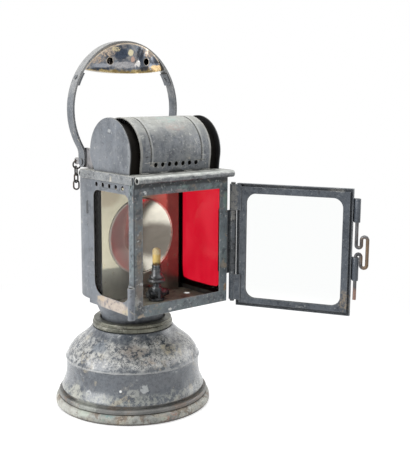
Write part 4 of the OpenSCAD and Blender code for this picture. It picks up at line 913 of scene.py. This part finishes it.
# A merged copy of a node, to be reshaped and put in its place
def openCopy(name):
    bm = bmesh.new()
    bm.from_mesh(nodes[name].data)
    bmesh.ops.remove_doubles(bm, verts=bm.verts, dist=softEdges["weld"])
    return bm


def putInPlace(bm, name, newName, body):
    for edge in bm.edges:
        edge.smooth = len(edge.link_faces) == 2 and edge.calc_face_angle(0) < math.radians(softEdges["angle"])
    for face in bm.faces:
        face.smooth = True
    mesh = bpy.data.meshes.new(newName)
    bm.to_mesh(mesh)
    bm.free()
    piece = bpy.data.objects.new(newName, mesh)
    bpy.context.scene.collection.objects.link(piece)
    mesh.materials.append(nodes[name].data.materials[0])
    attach(piece, body)
    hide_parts(name)
    return piece


# Cowl ends: the rear edge curls in again towards the roof
cowlEnd = {"middle": (-0.0387, 0.2442), "radius": 0.031, "behind": 0.02,
           "cuts": (0.2305, 0.2335, 0.237, 0.2405), "slack": 0.000001}


def curlCowlEnds():
    midY, midZ = cowlEnd["middle"]
    for side in ("left", "right"):
        bm = openCopy("cowl_end_" + side)
        for z in cowlEnd["cuts"]:
            everything = bm.verts[:] + bm.edges[:] + bm.faces[:]
            bmesh.ops.bisect_plane(bm, geom=everything, dist=cowlEnd["slack"],
                                   plane_co=(0, 0, z), plane_no=(0, 0, 1))
        for vert in bm.verts:
            below = midZ - vert.co.z
            if below > 0 and vert.co.y > midY + cowlEnd["behind"]:
                vert.co.y -= cowlEnd["radius"] - math.sqrt(cowlEnd["radius"] ** 2 - below ** 2)
        putInPlace(bm, "cowl_end_" + side, side + "CowlEnd", "head")


# Red window: its front edge lies behind the door post
redWindow = {"front": (-0.0695, -0.0605), "height": (0.1145, 0.2125), "forward": 0.0046,
             "back": -0.014, "ends": (0.116, 0.211), "corner": 0.0105, "spare": 1.05, "square": 0.6}


def widenRedWindow():
    bm = openCopy("right_wall")
    front, height = redWindow["front"], redWindow["height"]
    edgeVerts = [v for v in bm.verts if front[0] < v.co.y < front[1] and height[0] < v.co.z < height[1]]
    bmesh.ops.translate(bm, verts=edgeVerts, vec=(0, -redWindow["forward"], 0))
    # the rear corners are nearly square
    bend, spare = redWindow["corner"], redWindow["spare"]
    for end, up in zip(redWindow["ends"], (-1, 1)):
        midY, midZ = redWindow["back"] - bend, end - up * bend
        for vert in bm.verts:
            y, z = (vert.co.y - midY) / bend, (vert.co.z - midZ) / bend * up
            if 0 < y < spare and 0 < z < spare:
                grow = 1 + (1 / max(y, z) - 1) * redWindow["square"]
                vert.co.y, vert.co.z = midY + y * grow * bend, midZ + z * grow * bend * up
    putInPlace(bm, "right_wall", "rightWall", "head")


# Foot: knocked out of round over the years, with one dent
footWear = {"longest": 0.005, "standing": 0.0005, "wave": 0.0005, "waveSize": 28.0, "inwards": 0.5,
            "dent": (-0.0724, -0.0127, 0.0078), "dentReach": 0.009, "dentDepth": 0.0022}


def knockFoot():
    bm = openCopy("foot_ring")
    long = [edge for edge in bm.edges if edge.calc_length() > footWear["longest"]]
    bmesh.ops.subdivide_edges(bm, edges=long, cuts=1)
    dent = Vector(footWear["dent"])
    for vert in bm.verts:
        if vert.co.z < footWear["standing"]:      # what it stands on stays flat
            continue
        out = Vector((vert.co.x, vert.co.y, 0)).normalized()
        wave = noise.noise(vert.co * footWear["waveSize"]) - footWear["inwards"]
        vert.co += out * wave * footWear["wave"]
        near = (vert.co - dent).length / footWear["dentReach"]
        if near < 1:
            vert.co -= out * footWear["dentDepth"] * (1 - near * near) ** 2
    putInPlace(bm, "foot_ring", "footRim", "generator")


# Stage: a white floor that keeps the shadow, a white surround and three soft lamps
stageLook = {
    "ambient": 0.36,
    "glow": 0.45,
    "plain": (0.16, 0.5),      # the floor's shading fades to plain white between these distances
    "floorSize": 3.0,
    "paper": {"grey": 0.8, "rough": 0.9},
    "aim": (0, -0.02, 0.16),
    "lamps": [
        {"name": "leftSoftbox", "at": (-1.65, 0.25, 0.75), "size": 1.3, "power": 26},
        {"name": "topSoftbox", "at": (0.1, -0.1, 1.7), "size": 1.5, "power": 20},
        {"name": "rightSoftbox", "at": (1.5, -0.35, 0.6), "size": 1.0, "power": 7},
    ],
}


def seenDirectly(tree):
    path = tree.nodes.new("ShaderNodeLightPath").outputs
    either = calc(tree, "MAXIMUM", path["Is Camera Ray"], path["Is Glossy Ray"])
    return calc(tree, "MAXIMUM", either, path["Is Transmission Ray"])


def makeStage():
    world = bpy.data.worlds.new("surround")
    world.use_nodes = True
    tree = world.node_tree
    tree.nodes.clear()
    strength = spread(tree, seenDirectly(tree), 0.0, 1.0, stageLook["ambient"], 1.0)
    white = addNode(tree, "ShaderNodeBackground", None, {"Color": rgb(1, 1, 1), "Strength": strength})
    output = tree.nodes.new("ShaderNodeOutputWorld")
    tree.links.new(white.outputs[0], output.inputs[0])
    bpy.context.scene.world = world

    mesh = bpy.data.meshes.new("floor")
    bm = bmesh.new()
    bmesh.ops.create_grid(bm, x_segments=1, y_segments=1, size=stageLook["floorSize"])
    bm.to_mesh(mesh)
    bm.free()
    floor = bpy.data.objects.new("floor", mesh)
    bpy.context.scene.collection.objects.link(floor)
    material, tree, shader, output, place = newMaterial("paper")
    shader.inputs["Base Color"].default_value = rgb(*[stageLook["paper"]["grey"]] * 3)
    shader.inputs["Roughness"].default_value = stageLook["paper"]["rough"]
    glow = addNode(tree, "ShaderNodeEmission", None, {"Color": rgb(1, 1, 1), "Strength": stageLook["glow"]})
    both = addNode(tree, "ShaderNodeAddShader", None, {0: shader.outputs[0], 1: glow.outputs[0]})
    plain = addNode(tree, "ShaderNodeEmission", None, {"Color": rgb(1, 1, 1), "Strength": 1.0})
    share = spread(tree, vectorCalc(tree, "LENGTH", place), *stageLook["plain"])
    near = mixShaders(tree, share, both, plain)
    mixed = mixShaders(tree, seenDirectly(tree), shader, near)
    tree.links.new(mixed.outputs[0], output.inputs[0])
    mesh.materials.append(material)

    for lamp in stageLook["lamps"]:
        light = bpy.data.lights.new(lamp["name"], "AREA")
        light.shape = "SQUARE"
        light.size = lamp["size"]
        light.energy = lamp["power"]
        holder = bpy.data.objects.new(lamp["name"], light)
        aim = Vector(stageLook["aim"]) - Vector(lamp["at"])
        turn = aim.to_track_quat("-Z", "Y").to_matrix().to_4x4()
        holder.matrix_world = Matrix.Translation(lamp["at"]) @ turn
        bpy.context.scene.collection.objects.link(holder)


makeCamera()
dressNodes()
print("finishes on")
softenEdges()
curlCowlEnds()
widenRedWindow()
knockFoot()
print("sheet metal reshaped")
makeStage()
bpy.context.scene.view_settings.view_transform = "Standard"
print("stage set")
